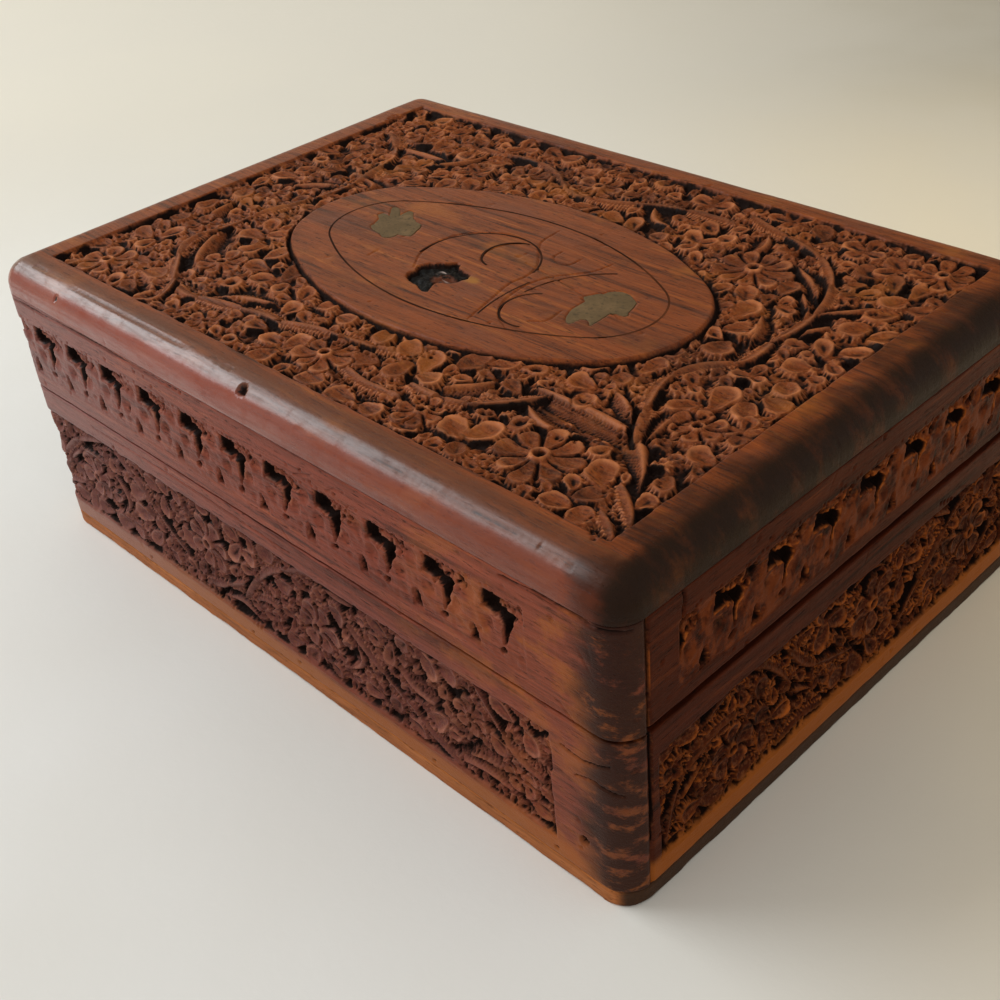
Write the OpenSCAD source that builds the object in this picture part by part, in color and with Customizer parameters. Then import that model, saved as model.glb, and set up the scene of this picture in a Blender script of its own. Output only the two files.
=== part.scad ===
// Carved rosewood keepsake box with a hinged lid.
// Origin: centre of the bottom face. +X right and +Z up, seen from the front; +Y is the hinge side.
// Real size in millimetres.

/* [Box] */
// Length of the box, left to right
box_w = 254; // [200:1:330]
// Depth of the box, front to back
box_d = 178; // [140:1:240]
// Height of the lower box, from the table to its rim
body_h = 54; // [44:0.5:80]
// Height of the lid's side boards
lid_wall_h = 32.2; // [27:0.1:48]
// Gap between the two rims when the lid is shut
seam_gap = 0.8; // [0.6:0.1:1.2]
// Extra gap at the two ends, where the end boards have shrunk
end_shrink = 1.4; // [0:0.1:2]

/* [Boards] */
// Thickness of the eight side boards
wall_t = 8; // [7:0.5:11]
// Thickness of the bottom board
base_t = 5; // [4:0.5:8]
// Thickness of the top board
top_t = 10; // [9:0.5:14]
// Rounding of the box's upright corners
corner_r = 8; // [4:0.5:11]
// Rounding of the top board's edges and corners
top_edge_r = 8; // [4:0.5:9]

/* [Carving] */
// Depth of the carved ground below the surface
carve_depth = 2.6; // [1:0.1:3.5]
// Plain margin round the carved field on top
top_margin = 13.5; // [11:0.5:20]
// Half-length of the plain oval left standing in the middle of the top
oval_a = 72.5; // [50:0.5:80]
// Half-width of that oval
oval_b = 41.8; // [34:0.2:46]
// Width of the carved stems
stem_w = 3.2; // [2:0.1:5]
// Outer radius of the large flowers
flower_r = 10; // [7:0.5:11]
// Radius of one bud
bud_r = 3.4; // [2:0.1:4]
// Lower edge of the carved band, above the bottom of the lower box
body_band_low = 11; // [9:0.5:20]
// Plain strip between the carved band and the lower box's rim
body_band_top = 8; // [6:0.5:12]
// Plain strip below the lid's carved band
lid_band_low = 4.5; // [4:0.5:8]
// Plain strip between the lid's carved band and the top board
lid_band_top = 8; // [6:0.5:12]
// Distance from the box's corners to the ends of the carved bands
band_end = 14; // [12:0.5:26]
// Length of one leaf unit in the lid's band
leaf_pitch = 19.4; // [16:0.1:24]
// Length of one full wave of the scroll on the lower box
wave_pitch = 75; // [60:1:120]

/* [Inlay] */
// Thickness of the inlaid brass leaves
leaf_t = 1.0; // [0.6:0.1:1.6]
// Width of the inlaid brass wire
wire_w = 0.6; // [0.4:0.1:1.2]
// Height of the inlaid brass wire
wire_h = 1.2; // [0.8:0.1:2]
// Distance from the oval's edge to the inlaid oval line
line_in = 11.5; // [6:0.5:14]
// Depth of the broken recess that has lost its leaf
lost_depth = 1.8; // [1:0.1:2.4]
// Thickness of the old lac left in that recess
lac_t = 0.8; // [0.4:0.1:0.9]

/* [Hinges] */
// Length of a hinge
hinge_len = 30; // [24:1:40]
// Distance from the middle of the box to the middle of a hinge
hinge_x = 82; // [50:1:88]
// Outer radius of the hinge knuckles
knuckle_r = 1.8; // [1.6:0.1:2.2]
// Distance from the back of the box in to the hinge pin
pin_inset = 2.0; // [2:0.1:2.6]
// Radius of the hinge pin
pin_r = 0.8; // [0.6:0.05:1]
// Clearance round the pin in the lid's knuckles
pin_clear = 0.05; // [0.02:0.01:0.1]
// Thickness of a hinge leaf
hinge_leaf_t = 0.9; // [0.7:0.1:1.2]
// Gap between the two leaves when the lid is shut
leaf_gap = 0.4; // [0.3:0.1:0.5]
// Furthest opening of the lid, where its bevelled back edge meets the lower box
open_angle = 105; // [95:1:115]
// Room left between the two bevels at that angle
stop_gap = 0.4; // [0.3:0.1:0.6]

/* [Nails and screws] */
// Radius of a nail's shank
nail_r = 0.7; // [0.5:0.1:1]
// Radius of a nail's head
nail_head_r = 1.3; // [1:0.1:1.8]
// Length of a nail
nail_len = 19; // [15:1:21]
// Depth at which the nails are sunk
nail_sink = 1.2; // [0.8:0.1:1.5]
// Radius of a hinge screw's shank
screw_r = 0.65; // [0.5:0.05:0.8]
// Radius of a hinge screw's head
screw_head_r = 1.3; // [1:0.1:1.5]
// Length of a hinge screw
screw_len = 8; // [6:1:11]

/* [Hidden] */
$fn = 48;
eps = 0.02;             // overrun of a cut past a face
fit = 0.05;             // clearance round nails and screws
knuckles = 5;           // knuckles in one hinge
knuckle_gap = 0.3;      // gap between neighbouring knuckles
pocket_clear = 0.3;     // wood cleared round the knuckles
nail_head_t = 0.6;      // thickness of a nail's head
screw_slot = 0.4;       // width and depth of a screw's slot

half_w = box_w / 2;
half_d = box_d / 2;
rim_round = min(corner_r, wall_t);
edge_round = min(top_edge_r, top_t - 1);
lid_z = body_h + seam_gap;
lid_top_z = lid_z + lid_wall_h;
box_h = lid_top_z + top_t;
seam_mid = body_h + seam_gap / 2;
wall_mid = wall_t / 2;
end_len = box_d - 2 * wall_t;

// carved field on top
field_w = box_w - 2 * top_margin;
field_d = box_d - 2 * top_margin;
body_band_h = body_h - body_band_low - body_band_top;
lid_band_h = lid_wall_h - lid_band_low - lid_band_top;

// hinge
axis_y = half_d - pin_inset;
bevel = open_angle / 2;
knuckle_len = (hinge_len - (knuckles - 1) * knuckle_gap) / knuckles;
pocket_r = knuckle_r + pocket_clear;
leaf_in = half_d - wall_t;
leaf_depth = axis_y - leaf_in;
screw_y = (leaf_in + axis_y - pocket_r) / 2;
screw_step = hinge_len / 2 - knuckle_len / 2 - 2;

// nails
side_nail_x = half_w - wall_mid - 1;
body_nail_z = [base_t + 4.5, body_h - 4];
lid_nail_z = [lid_z + 3.5, lid_top_z - 3.5];
edge_in = wall_mid;
board_top_there = box_h - edge_round
    + sqrt(max(0, pow(edge_round, 2) - pow(max(0, edge_round - edge_in), 2)));
top_nail_z = board_top_there - nail_sink;
long_nail_x = [for (s = [-1.2, -0.4, 0.4, 1.2]) s * half_w * 0.66];
short_nail_y = [for (s = [-1, 1]) s * half_d * 0.48];

// ---------- outlines ----------

// Rectangle with rounded corners, centred
module round_rect(w, d, r) {
    square([w - 2 * r, d], center = true);
    square([w, d - 2 * r], center = true);
    for (sx = [-1, 1], sy = [-1, 1])
        translate([sx * (w / 2 - r), sy * (d / 2 - r)]) circle(r);
}

// Oval drawn with compasses from four centres; its parallel curves share the centres
module oval(a, b, inset = 0) {
    end_r = b * 0.72;
    p = a - end_r;
    side_r = (b * b + p * p - end_r * end_r) / (2 * (b - end_r));
    q = side_r - b;
    top = b + 1;
    top_x = p * (top + q) / q;
    for (s = [-1, 1]) {
        translate([s * p, 0]) circle(end_r - inset, $fn = 96);
        intersection() {
            translate([0, -s * q]) circle(side_r - inset, $fn = 180);
            polygon([[p, 0], [top_x, s * top], [-top_x, s * top], [-p, 0]]);
        }
    }
}

// Ring segment of a given width between two angles
module arc_strip(r, from, to, w) {
    reach = 2 * (r + w);
    steps = ceil((to - from) / 60);
    intersection() {
        difference() {
            circle(r + w / 2);
            circle(r - w / 2);
        }
        polygon(concat([[0, 0]],
            [for (i = [0:steps]) let (a = from + (to - from) * i / steps) reach * [cos(a), sin(a)]]));
    }
}

// Pointed leaf from two arcs, its base at the origin and its tip along +X
module pointed_leaf(len, wide) {
    r = (len * len + wide * wide) / (4 * wide);
    translate([len / 2, 0])
        intersection() {
            translate([0, r - wide / 2]) circle(r);
            translate([0, wide / 2 - r]) circle(r);
        }
}

// Flower of round petals about a centre
module flower(r, petals) {
    petal_r = r * 0.36;
    circle(r * 0.55);
    for (i = [0:petals - 1])
        rotate(i * 360 / petals) translate([r - petal_r, 0]) circle(petal_r, $fn = 24);
}

// Three round buds on one stalk end
module bud_cluster(r) {
    for (a = [-90, 30, 150]) rotate(a) translate([r * 0.9, 0]) circle(r, $fn = 24);
}

// Stem that waves along X, as one strip of even width
module wave_stem(len, amp, pitch, w) {
    steps = ceil(len / pitch * 16);
    x_of = [for (i = [0:steps]) -len / 2 + len * i / steps];
    polygon(concat(
        [for (x = x_of) [x, amp * cos(360 * x / pitch) + w / 2]],
        [for (i = [steps:-1:0]) [x_of[i], amp * cos(360 * x_of[i] / pitch) - w / 2]]));
}

// ---------- carved bands and field ----------

// What stands in the lid's band: a row of three-lobed leaves
module lid_band_leaves(len) {
    count = max(1, round(len / leaf_pitch));
    step = len / count;
    lobe = lid_band_h * 0.19;
    for (i = [0:count - 1]) translate([-len / 2 + (i + 0.5) * step, 0]) {
        translate([0, lid_band_h * 0.72]) circle(lobe * 1.25);
        for (s = [-1, 1])
            translate([s * step * 0.27, lid_band_h * 0.38]) circle(lobe * 1.15);
        translate([-lobe / 2, lid_band_h * 0.1]) square([lobe, lid_band_h * 0.6]);
        translate([-step * 0.4, -eps]) square([step * 0.8, lid_band_h * 0.12]);
    }
}

// What stands in the lower band: a waving stem with a flower in each hollow, and buds
module body_band_scroll(len) {
    waves = max(1, round(2 * len / wave_pitch)) / 2;
    pitch = len / waves;
    amp = body_band_h / 2 - stem_w;
    r = min(flower_r, body_band_h / 2 - 2 * stem_w);
    translate([0, body_band_h / 2]) {
        wave_stem(len + 2, amp, pitch, stem_w);
        for (i = [-ceil(waves):ceil(waves)]) if (abs(i) * pitch / 2 < len / 2 - r) {
            up = i % 2 == 0 ? -1 : 1;
            translate([i * pitch / 2, up * (body_band_h / 2 - r - 1)]) flower(r, 7 + up);
            for (s = [-1, 1])
                translate([i * pitch / 2 + s * pitch * 0.2, up * (body_band_h / 2 - bud_r * 2.2)])
                    bud_cluster(bud_r * 0.8);
        }
    }
}

// The cut round one band, pushed into a side face that stands dist from the origin
module cut_side(turn, dist) {
    rotate([0, 0, turn]) translate([0, carve_depth - dist, 0]) rotate([90, 0, 0])
        linear_extrude(carve_depth + 1) children();
}

module body_band_cut(turn, dist, face_len) {
    len = face_len - 2 * band_end;
    translate([0, 0, body_band_low])
        cut_side(turn, dist) difference() {
            translate([-len / 2, 0]) square([len, body_band_h]);
            body_band_scroll(len);
        }
}

module lid_band_cut(turn, dist, face_len) {
    len = face_len - 2 * band_end;
    translate([0, 0, lid_z + lid_band_low])
        cut_side(turn, dist) difference() {
            translate([-len / 2, 0]) square([len, lid_band_h]);
            lid_band_leaves(len);
        }
}

// What stands in the top's field: oval, vine, flowers and rows of buds
module top_pattern() {
    vine_w = field_w - 2 * flower_r * 2.4;
    vine_d = field_d - 2 * flower_r * 1.65;
    oval(oval_a, oval_b);
    difference() {
        round_rect(vine_w, vine_d, 24);
        round_rect(vine_w - 2 * stem_w, vine_d - 2 * stem_w, 24 - stem_w);
    }
    // flowers as [share of half length, share of half width, petals]
    for (f = [[0.54, 0.55, 8], [0.68, -0.79, 6], [0.04, -0.8, 7], [-0.88, -0.86, 6],
              [-0.07, 0.8, 6], [0.9, 0.88, 8], [-0.54, -0.55, 8], [-0.68, 0.79, 6]])
        translate([f[0] * field_w / 2, f[1] * field_d / 2]) flower(flower_r, f[2]);
    side_buds = floor(field_w / (bud_r * 3.6));
    for (i = [0:side_buds - 1], s = [-1, 1])
        translate([(i + 0.5 - side_buds / 2) * field_w / side_buds, s * (field_d / 2 - bud_r - 1)])
            circle(bud_r, $fn = 24);
    end_buds = floor(field_d / (bud_r * 3.6)) - 2;
    for (i = [0:end_buds - 1], s = [-1, 1])
        translate([s * (field_w / 2 - bud_r - 1), (i + 0.5 - end_buds / 2) * field_d / (end_buds + 2)])
            circle(bud_r, $fn = 24);
}

module top_field_cut() {
    translate([0, 0, box_h - carve_depth]) linear_extrude(carve_depth + 1)
        difference() {
            round_rect(field_w, field_d, 3);
            top_pattern();
        }
}

// ---------- boards ----------

// Long board of one storey, front (side -1) or back (side 1), with rounded corners
module long_board(side, z, h) {
    translate([0, 0, z]) linear_extrude(h)
        intersection() {
            round_rect(box_w, box_d, rim_round);
            translate([-half_w, side > 0 ? half_d - wall_t : -half_d]) square([box_w, wall_t]);
        }
}

// End board, left (side -1) or right (side 1), fitted between the long boards
module end_board(side, z, h) {
    translate([side > 0 ? half_w - wall_t : -half_w, -end_len / 2, z]) cube([wall_t, end_len, h]);
}

// Block with rounded corners and a rounded upper edge
module rounded_board(w, d, h, r) {
    cx = w / 2 - r;
    cy = d / 2 - r;
    intersection() {
        union() {
            translate([-cx, -cy, 0]) cube([2 * cx, 2 * cy, h]);
            translate([-w / 2, -cy, 0]) cube([w, 2 * cy, h - r]);
            translate([-cx, -d / 2, 0]) cube([2 * cx, d, h - r]);
            for (sx = [-1, 1], sy = [-1, 1]) translate([sx * cx, sy * cy, 0]) {
                cylinder(r = r, h = h - r);
                translate([0, 0, h - r]) sphere(r);
            }
            for (s = [-1, 1]) {
                translate([-cx, s * cy, h - r]) rotate([0, 90, 0]) cylinder(r = r, h = 2 * cx);
                translate([s * cx, cy, h - r]) rotate([90, 0, 0]) cylinder(r = r, h = 2 * cy);
            }
        }
        translate([-w / 2 - 1, -d / 2 - 1, 0]) cube([w + 2, d + 2, h + 1]);
    }
}

// ---------- hinge ----------

// Wedge taken off a back board so that the opened lid has room; up is 1 on the lid, -1 below
module stop_bevel(up) {
    translate([-half_w - 1, axis_y, seam_mid]) mirror([0, 0, up > 0 ? 0 : 1])
        rotate([bevel, 0, 0]) translate([0, 0, stop_gap / 2 - 20]) cube([box_w + 2, 20, 20]);
}

// Wood taken out round the knuckles and under the leaf of each hinge
module hinge_pockets(up) {
    room = hinge_len + 2 * pocket_clear;
    for (s = [-1, 1]) translate([s * hinge_x - room / 2, 0, seam_mid]) {
        translate([0, axis_y, 0]) rotate([0, 90, 0]) cylinder(r = pocket_r, h = room);
        mirror([0, 0, up > 0 ? 0 : 1])
            translate([0, leaf_in - 1, 0]) cube([room, leaf_depth + 1, leaf_gap / 2 + hinge_leaf_t]);
    }
}

// Knuckles of one leaf: the lower leaf has the first, third and fifth
module knuckle_row(x, first, bore) {
    for (i = [first:2:knuckles - 1])
        translate([x - hinge_len / 2 + i * (knuckle_len + knuckle_gap), axis_y, seam_mid])
            rotate([0, 90, 0]) difference() {
                cylinder(r = knuckle_r, h = knuckle_len);
                translate([0, 0, -1]) cylinder(r = bore, h = knuckle_len + 2);
            }
}

// Room for the other leaf's knuckles, cut out of this leaf's plate
module knuckle_room(x, first) {
    for (i = [first:2:knuckles - 1])
        translate([x - hinge_len / 2 + i * (knuckle_len + knuckle_gap) - knuckle_gap, axis_y, seam_mid])
            rotate([0, 90, 0]) cylinder(r = pocket_r, h = knuckle_len + 2 * knuckle_gap);
}

// One leaf with its knuckles; up is 1 for the lid's, -1 for the lower box's
module hinge_leaf(x, up) {
    own = up > 0 ? 1 : 0;
    bore = pin_r + (up > 0 ? pin_clear : 0);
    knuckle_row(x, own, bore);
    difference() {
        translate([x - hinge_len / 2, leaf_in, seam_mid + (up > 0 ? leaf_gap / 2
                                                                   : -leaf_gap / 2 - hinge_leaf_t)])
            cube([hinge_len, leaf_depth, hinge_leaf_t]);
        knuckle_room(x, 1 - own);
        translate([x - hinge_len, axis_y, seam_mid]) rotate([0, 90, 0])
            cylinder(r = bore + 0.4, h = 2 * hinge_len);
        hinge_screws_at(x, up, fit);
    }
}

// The two countersunk screws of one leaf, grown by a clearance where they cut
module hinge_screws_at(x, up, grow) {
    head_h = screw_head_r - screw_r;
    for (s = [-1, 1]) translate([x + s * screw_step, screw_y, seam_mid])
        mirror([0, 0, up > 0 ? 0 : 1]) translate([0, 0, leaf_gap / 2 + 0.02 - grow]) {
            cylinder(r1 = screw_head_r + grow, r2 = screw_r + grow, h = head_h);
            cylinder(r = screw_r + grow, h = screw_len + 2 * grow);
        }
}

module hinge_screw_row(up) {
    difference() {
        for (s = [-1, 1]) hinge_screws_at(s * hinge_x, up, 0);
        for (s = [-1, 1], t = [-1, 1])
            translate([s * hinge_x + t * screw_step, screw_y, seam_mid])
                cube([screw_slot, 4 * screw_head_r, leaf_gap + 2 * screw_slot], center = true);
    }
}

module hinge_pin(x) {
    translate([x - hinge_len / 2, axis_y, seam_mid]) rotate([0, 90, 0])
        cylinder(r = pin_r, h = hinge_len);
}

// ---------- nails ----------

// A nail whose head's outer face is at the origin and whose shank runs along -Z
module nail(grow = 0, above = 0) {
    translate([0, 0, -nail_head_t - grow])
        cylinder(r = nail_head_r + grow, h = nail_head_t + grow + above);
    translate([0, 0, -nail_len - grow]) cylinder(r = nail_r + grow, h = nail_len);
}

// Through the long boards into the ends of the end boards
module corner_nails(heights, grow = 0, above = 0) {
    for (sx = [-1, 1], sy = [-1, 1], z = heights)
        translate([sx * side_nail_x, sy * (half_d - nail_sink - 0.8), z])
            rotate([-sy * 90, 0, 0]) nail(grow, above);
}

// Nail places above the middle of the walls
module over_walls() {
    for (s = [-1, 1]) {
        for (x = long_nail_x) translate([x, s * (half_d - wall_mid), 0]) children();
        for (y = short_nail_y) translate([s * (half_w - wall_mid), y, 0]) children();
    }
}

module under_nails(grow = 0, above = 0) {
    translate([0, 0, nail_sink]) over_walls() mirror([0, 0, 1]) nail(grow, above);
}

module over_nails(grow = 0, above = 0) {
    translate([0, 0, top_nail_z]) over_walls() nail(grow, above);
}

// ---------- inlay ----------

// Brass leaf: a long middle lobe, two side lobes and a rounded heel
module leaf_blank(len, grow = 0) {
    circle(len * 0.27 + grow);
    pointed_leaf(len * 0.72 + grow, len * 0.36 + 2 * grow);
    for (s = [-1, 1]) rotate(s * 68) pointed_leaf(len * 0.46 + grow, len * 0.36 + 2 * grow);
}

module place_leaf_left() {
    translate([-43, 1]) rotate(-28) children();
}

module place_leaf_right() {
    translate([45, 2]) rotate(-96) children();
}

module place_leaf_lost() {
    translate([-5, -15]) rotate(-60) children();
}

// Oval line laid parallel to the oval's edge
module oval_line(w) {
    difference() {
        oval(oval_a, oval_b, line_in - w / 2);
        oval(oval_a, oval_b, line_in + w / 2);
    }
}

// Scrolls drawn with the compass: [centre x, centre y, radius, from, to]
scroll_arcs = [[-3, -2, 19, 15, 195], [2.5, 7, 8.5, 95, 260], [70, -9, 52, 172, 196],
               [31, -13, 9.5, 120, 290], [50, -8, 28.5, 122, 178]];

module scroll_wires(w) {
    for (s = scroll_arcs) translate([s[0], s[1]]) arc_strip(s[2], s[3], s[4], w);
}

module sunk(depth) {
    translate([0, 0, box_h - depth]) linear_extrude(depth + eps) children();
}

module inlay(depth) {
    translate([0, 0, box_h - depth]) linear_extrude(depth) children();
}

// ---------- the pieces ----------

module base_board() color("#8a5a34") difference() {
    linear_extrude(base_t) round_rect(box_w, box_d, rim_round);
    under_nails(fit, 3);
}

module body_front_wall() color("#6e4038") difference() {
    long_board(-1, base_t, body_h - base_t);
    body_band_cut(0, half_d, box_w);
    corner_nails(body_nail_z, fit, 4);
    under_nails(fit, 0);
}

module body_back_wall() color("#6e4038") difference() {
    long_board(1, base_t, body_h - base_t);
    body_band_cut(180, half_d, box_w);
    corner_nails(body_nail_z, fit, 4);
    under_nails(fit, 0);
    stop_bevel(-1);
    hinge_pockets(-1);
    for (s = [-1, 1]) hinge_screws_at(s * hinge_x, -1, fit);
}

module body_end_wall(side) difference() {
    end_board(side, base_t, body_h - base_t);
    body_band_cut(side * 90, half_w, box_d);
    corner_nails(body_nail_z, fit, 0);
    under_nails(fit, 0);
}

module body_left_wall() color("#5e3428") body_end_wall(-1);

module body_right_wall() color("#5e3428") body_end_wall(1);

module body_corner_nails() color("#4a4642") corner_nails(body_nail_z);

module base_nails() color("#4a4642") under_nails();

module lid_top_board() color("#8e5434") difference() {
    translate([0, 0, lid_top_z]) rounded_board(box_w, box_d, top_t, edge_round);
    top_field_cut();
    sunk(leaf_t) place_leaf_left() leaf_blank(20);
    sunk(leaf_t) place_leaf_right() leaf_blank(22);
    sunk(lost_depth) place_leaf_lost() leaf_blank(21);
    sunk(wire_h) oval_line(wire_w);
    sunk(wire_h) scroll_wires(wire_w);
    over_nails(fit, 4);
}

module lid_front_wall() color("#6e4038") difference() {
    long_board(-1, lid_z, lid_wall_h);
    lid_band_cut(0, half_d, box_w);
    corner_nails(lid_nail_z, fit, 4);
    over_nails(fit, 0);
}

module lid_back_wall() color("#6e4038") difference() {
    long_board(1, lid_z, lid_wall_h);
    lid_band_cut(180, half_d, box_w);
    corner_nails(lid_nail_z, fit, 4);
    over_nails(fit, 0);
    stop_bevel(1);
    hinge_pockets(1);
    for (s = [-1, 1]) hinge_screws_at(s * hinge_x, 1, fit);
}

module lid_end_wall(side) difference() {
    end_board(side, lid_z + end_shrink, lid_wall_h - end_shrink);
    lid_band_cut(side * 90, half_w, box_d);
    corner_nails(lid_nail_z, fit, 0);
    over_nails(fit, 0);
}

module lid_left_wall() color("#5e3428") lid_end_wall(-1);

module lid_right_wall() color("#5e3428") lid_end_wall(1);

module lid_corner_nails() color("#4a4642") corner_nails(lid_nail_z);

module lid_top_nails() color("#4a4642") over_nails();

module brass_leaf_left() color("#6f6a52") inlay(leaf_t) place_leaf_left() leaf_blank(20);

module brass_leaf_right() color("#6f6a52") inlay(leaf_t) place_leaf_right() leaf_blank(22);

module brass_oval_line() color("#5c4a36") inlay(wire_h) difference() {
    oval_line(wire_w);
    scroll_wires(wire_w);
}

module brass_scroll_wires() color("#5c4a36") inlay(wire_h) difference() {
    scroll_wires(wire_w);
    place_leaf_left() leaf_blank(20);
    place_leaf_right() leaf_blank(22);
    place_leaf_lost() leaf_blank(21);
}

module lac_filling() color("#241f1d")
    translate([0, 0, box_h - lost_depth]) linear_extrude(lac_t) place_leaf_lost() leaf_blank(21);

module hinge_body_leaf_left() color("#8a7440") hinge_leaf(-hinge_x, -1);

module hinge_body_leaf_right() color("#8a7440") hinge_leaf(hinge_x, -1);

module hinge_lid_leaf_left() color("#8a7440") hinge_leaf(-hinge_x, 1);

module hinge_lid_leaf_right() color("#8a7440") hinge_leaf(hinge_x, 1);

module hinge_pin_left() color("#77706a") hinge_pin(-hinge_x);

module hinge_pin_right() color("#77706a") hinge_pin(hinge_x);

module hinge_screws_body() color("#77706a") hinge_screw_row(-1);

module hinge_screws_lid() color("#77706a") hinge_screw_row(1);

base_board();
body_front_wall();
body_back_wall();
body_left_wall();
body_right_wall();
body_corner_nails();
base_nails();
lid_top_board();
lid_front_wall();
lid_back_wall();
lid_left_wall();
lid_right_wall();
lid_corner_nails();
lid_top_nails();
brass_leaf_left();
brass_leaf_right();
brass_oval_line();
brass_scroll_wires();
lac_filling();
hinge_body_leaf_left();
hinge_body_leaf_right();
hinge_lid_leaf_left();
hinge_lid_leaf_right();
hinge_pin_left();
hinge_pin_right();
hinge_screws_body();
hinge_screws_lid();
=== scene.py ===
# %% [markdown]
# # A carved rosewood keepsake box
# The box is a tray of four side boards on a bottom board, and a lid of four more side boards
# under a thick top board. Nearly everything that catches the eye is carving, so this lesson
# spends its time on one idea: a carved face is a height map. A planed face is laid out flat,
# the carver's cuts are written into a grid of heights, and the grid is then folded back round
# the board it belongs to.

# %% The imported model
import math
import bmesh
import bpy
import numpy as np
from mathutils import Matrix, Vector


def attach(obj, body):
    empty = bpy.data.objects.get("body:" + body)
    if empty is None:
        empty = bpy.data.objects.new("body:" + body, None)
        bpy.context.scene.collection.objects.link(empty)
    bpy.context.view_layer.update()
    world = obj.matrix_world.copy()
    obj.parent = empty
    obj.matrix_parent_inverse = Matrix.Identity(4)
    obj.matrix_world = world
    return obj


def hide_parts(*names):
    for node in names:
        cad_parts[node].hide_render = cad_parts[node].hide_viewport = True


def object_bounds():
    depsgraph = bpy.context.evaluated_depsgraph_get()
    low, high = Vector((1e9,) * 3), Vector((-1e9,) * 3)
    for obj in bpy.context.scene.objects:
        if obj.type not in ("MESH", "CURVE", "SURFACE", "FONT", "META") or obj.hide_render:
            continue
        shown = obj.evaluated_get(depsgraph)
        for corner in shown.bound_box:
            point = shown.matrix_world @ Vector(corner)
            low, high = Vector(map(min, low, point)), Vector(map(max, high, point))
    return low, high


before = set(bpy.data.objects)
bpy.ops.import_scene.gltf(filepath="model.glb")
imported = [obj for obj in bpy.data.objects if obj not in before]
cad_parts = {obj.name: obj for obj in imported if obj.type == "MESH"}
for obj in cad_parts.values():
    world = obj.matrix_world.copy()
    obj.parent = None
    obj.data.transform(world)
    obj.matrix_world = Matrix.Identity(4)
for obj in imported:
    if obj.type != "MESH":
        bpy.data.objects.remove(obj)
cad_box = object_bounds()

MM = 0.001
HALF_W, HALF_D, BOX_TOP = (round(c / MM, 2) for c in cad_box[1])
WALL, CORNER = 8.0, 8.0             # thickness of the side boards, rounding of the corners
BASE_TOP, BODY_TOP = 5.0, 54.0      # heights where the boards below the seam end
LID_LOW, LID_TOP = 54.8, 87.0       # heights of the lid's side boards
print("CAD box", [[round(c, 4) for c in corner] for corner in cad_box])

# %% [markdown]
# ## The camera
# The photograph was taken from above the right front corner, with the camera tipped a little
# to one side. A camera in Blender looks along its own -Z with +Y up, so its matrix is made of
# three columns: right, up and back. They follow from the heading, the height and the tilt.

# %% The camera
HEADING, LOOK_DOWN, TILT = math.radians(48.43), math.radians(35.40), math.radians(-5.62)
CAMERA_AT = (263.96, -238.26, 266.53)
LENS = 49.02

ahead = np.array([-math.sin(HEADING) * math.cos(LOOK_DOWN),
                  math.cos(HEADING) * math.cos(LOOK_DOWN), -math.sin(LOOK_DOWN)])
level_right = np.array([math.cos(HEADING), math.sin(HEADING), 0.0])
level_up = np.cross(level_right, ahead)
right = math.cos(TILT) * level_right + math.sin(TILT) * level_up
up = np.cross(right, ahead)

camera = bpy.data.objects.new("camera", bpy.data.cameras.new("camera"))
bpy.context.collection.objects.link(camera)
camera.data.lens, camera.data.sensor_width = LENS, 36.0
camera.data.clip_start, camera.data.clip_end = 0.01, 20.0
place = Matrix.Identity(4)
for row in range(3):
    place[row][0], place[row][1], place[row][2] = right[row], up[row], -ahead[row]
    place[row][3] = CAMERA_AT[row] * MM
camera.matrix_world = place
bpy.context.scene.camera = camera
print("camera at", [round(c) for c in CAMERA_AT], "mm, lens", LENS)

# %% [markdown]
# ## Numbers the carver needs
# Four small helpers do most of the work. `ease` is a soft step, `blur` a Gaussian blur,
# `patchy` a seeded noise that gives the same values on every run, and `smooth_line` turns a few
# given points into a flowing curve, as a carver's drawn vine would flow through them.

# %% Soft steps, blur and patchy noise
def ease(low, high, x):
    """0 below low, 1 above high and a soft step between them."""
    t = np.clip((x - low) / (high - low), 0.0, 1.0)
    return t * t * (3.0 - 2.0 * t)


def blur(heights, spread):
    """Gaussian blur, with spread in grid cells."""
    reach = int(math.ceil(2.5 * spread))
    weights = np.exp(-0.5 * (np.arange(-reach, reach + 1) / spread) ** 2)
    weights /= weights.sum()
    for axis in (0, 1):
        pads = [(0, 0), (0, 0)]
        pads[axis] = (reach, reach)
        wide = np.pad(heights, pads, mode="edge")
        size = heights.shape[axis]
        heights = sum(w * (wide[i:i + size] if axis == 0 else wide[:, i:i + size])
                      for i, w in enumerate(weights))
    return heights


TILE = 97                           # patches before the noise repeats


def patchy(u, v, size, seed):
    """Smooth noise from -1 to 1 whose patches are about size across."""
    x, y = np.asarray(u) / size + 1000.0, np.asarray(v) / size + 1000.0
    i, j = np.floor(x).astype(int), np.floor(y).astype(int)
    fx, fy = ease(0, 1, x - i), ease(0, 1, y - j)
    dice = np.random.default_rng(seed).uniform(-1, 1, (TILE, TILE))

    def at(a, b):
        return dice[(j + b) % TILE, (i + a) % TILE]
    low = at(0, 0) * (1 - fx) + at(1, 0) * fx
    high = at(0, 1) * (1 - fx) + at(1, 1) * fx
    return low * (1 - fy) + high * fy


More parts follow.
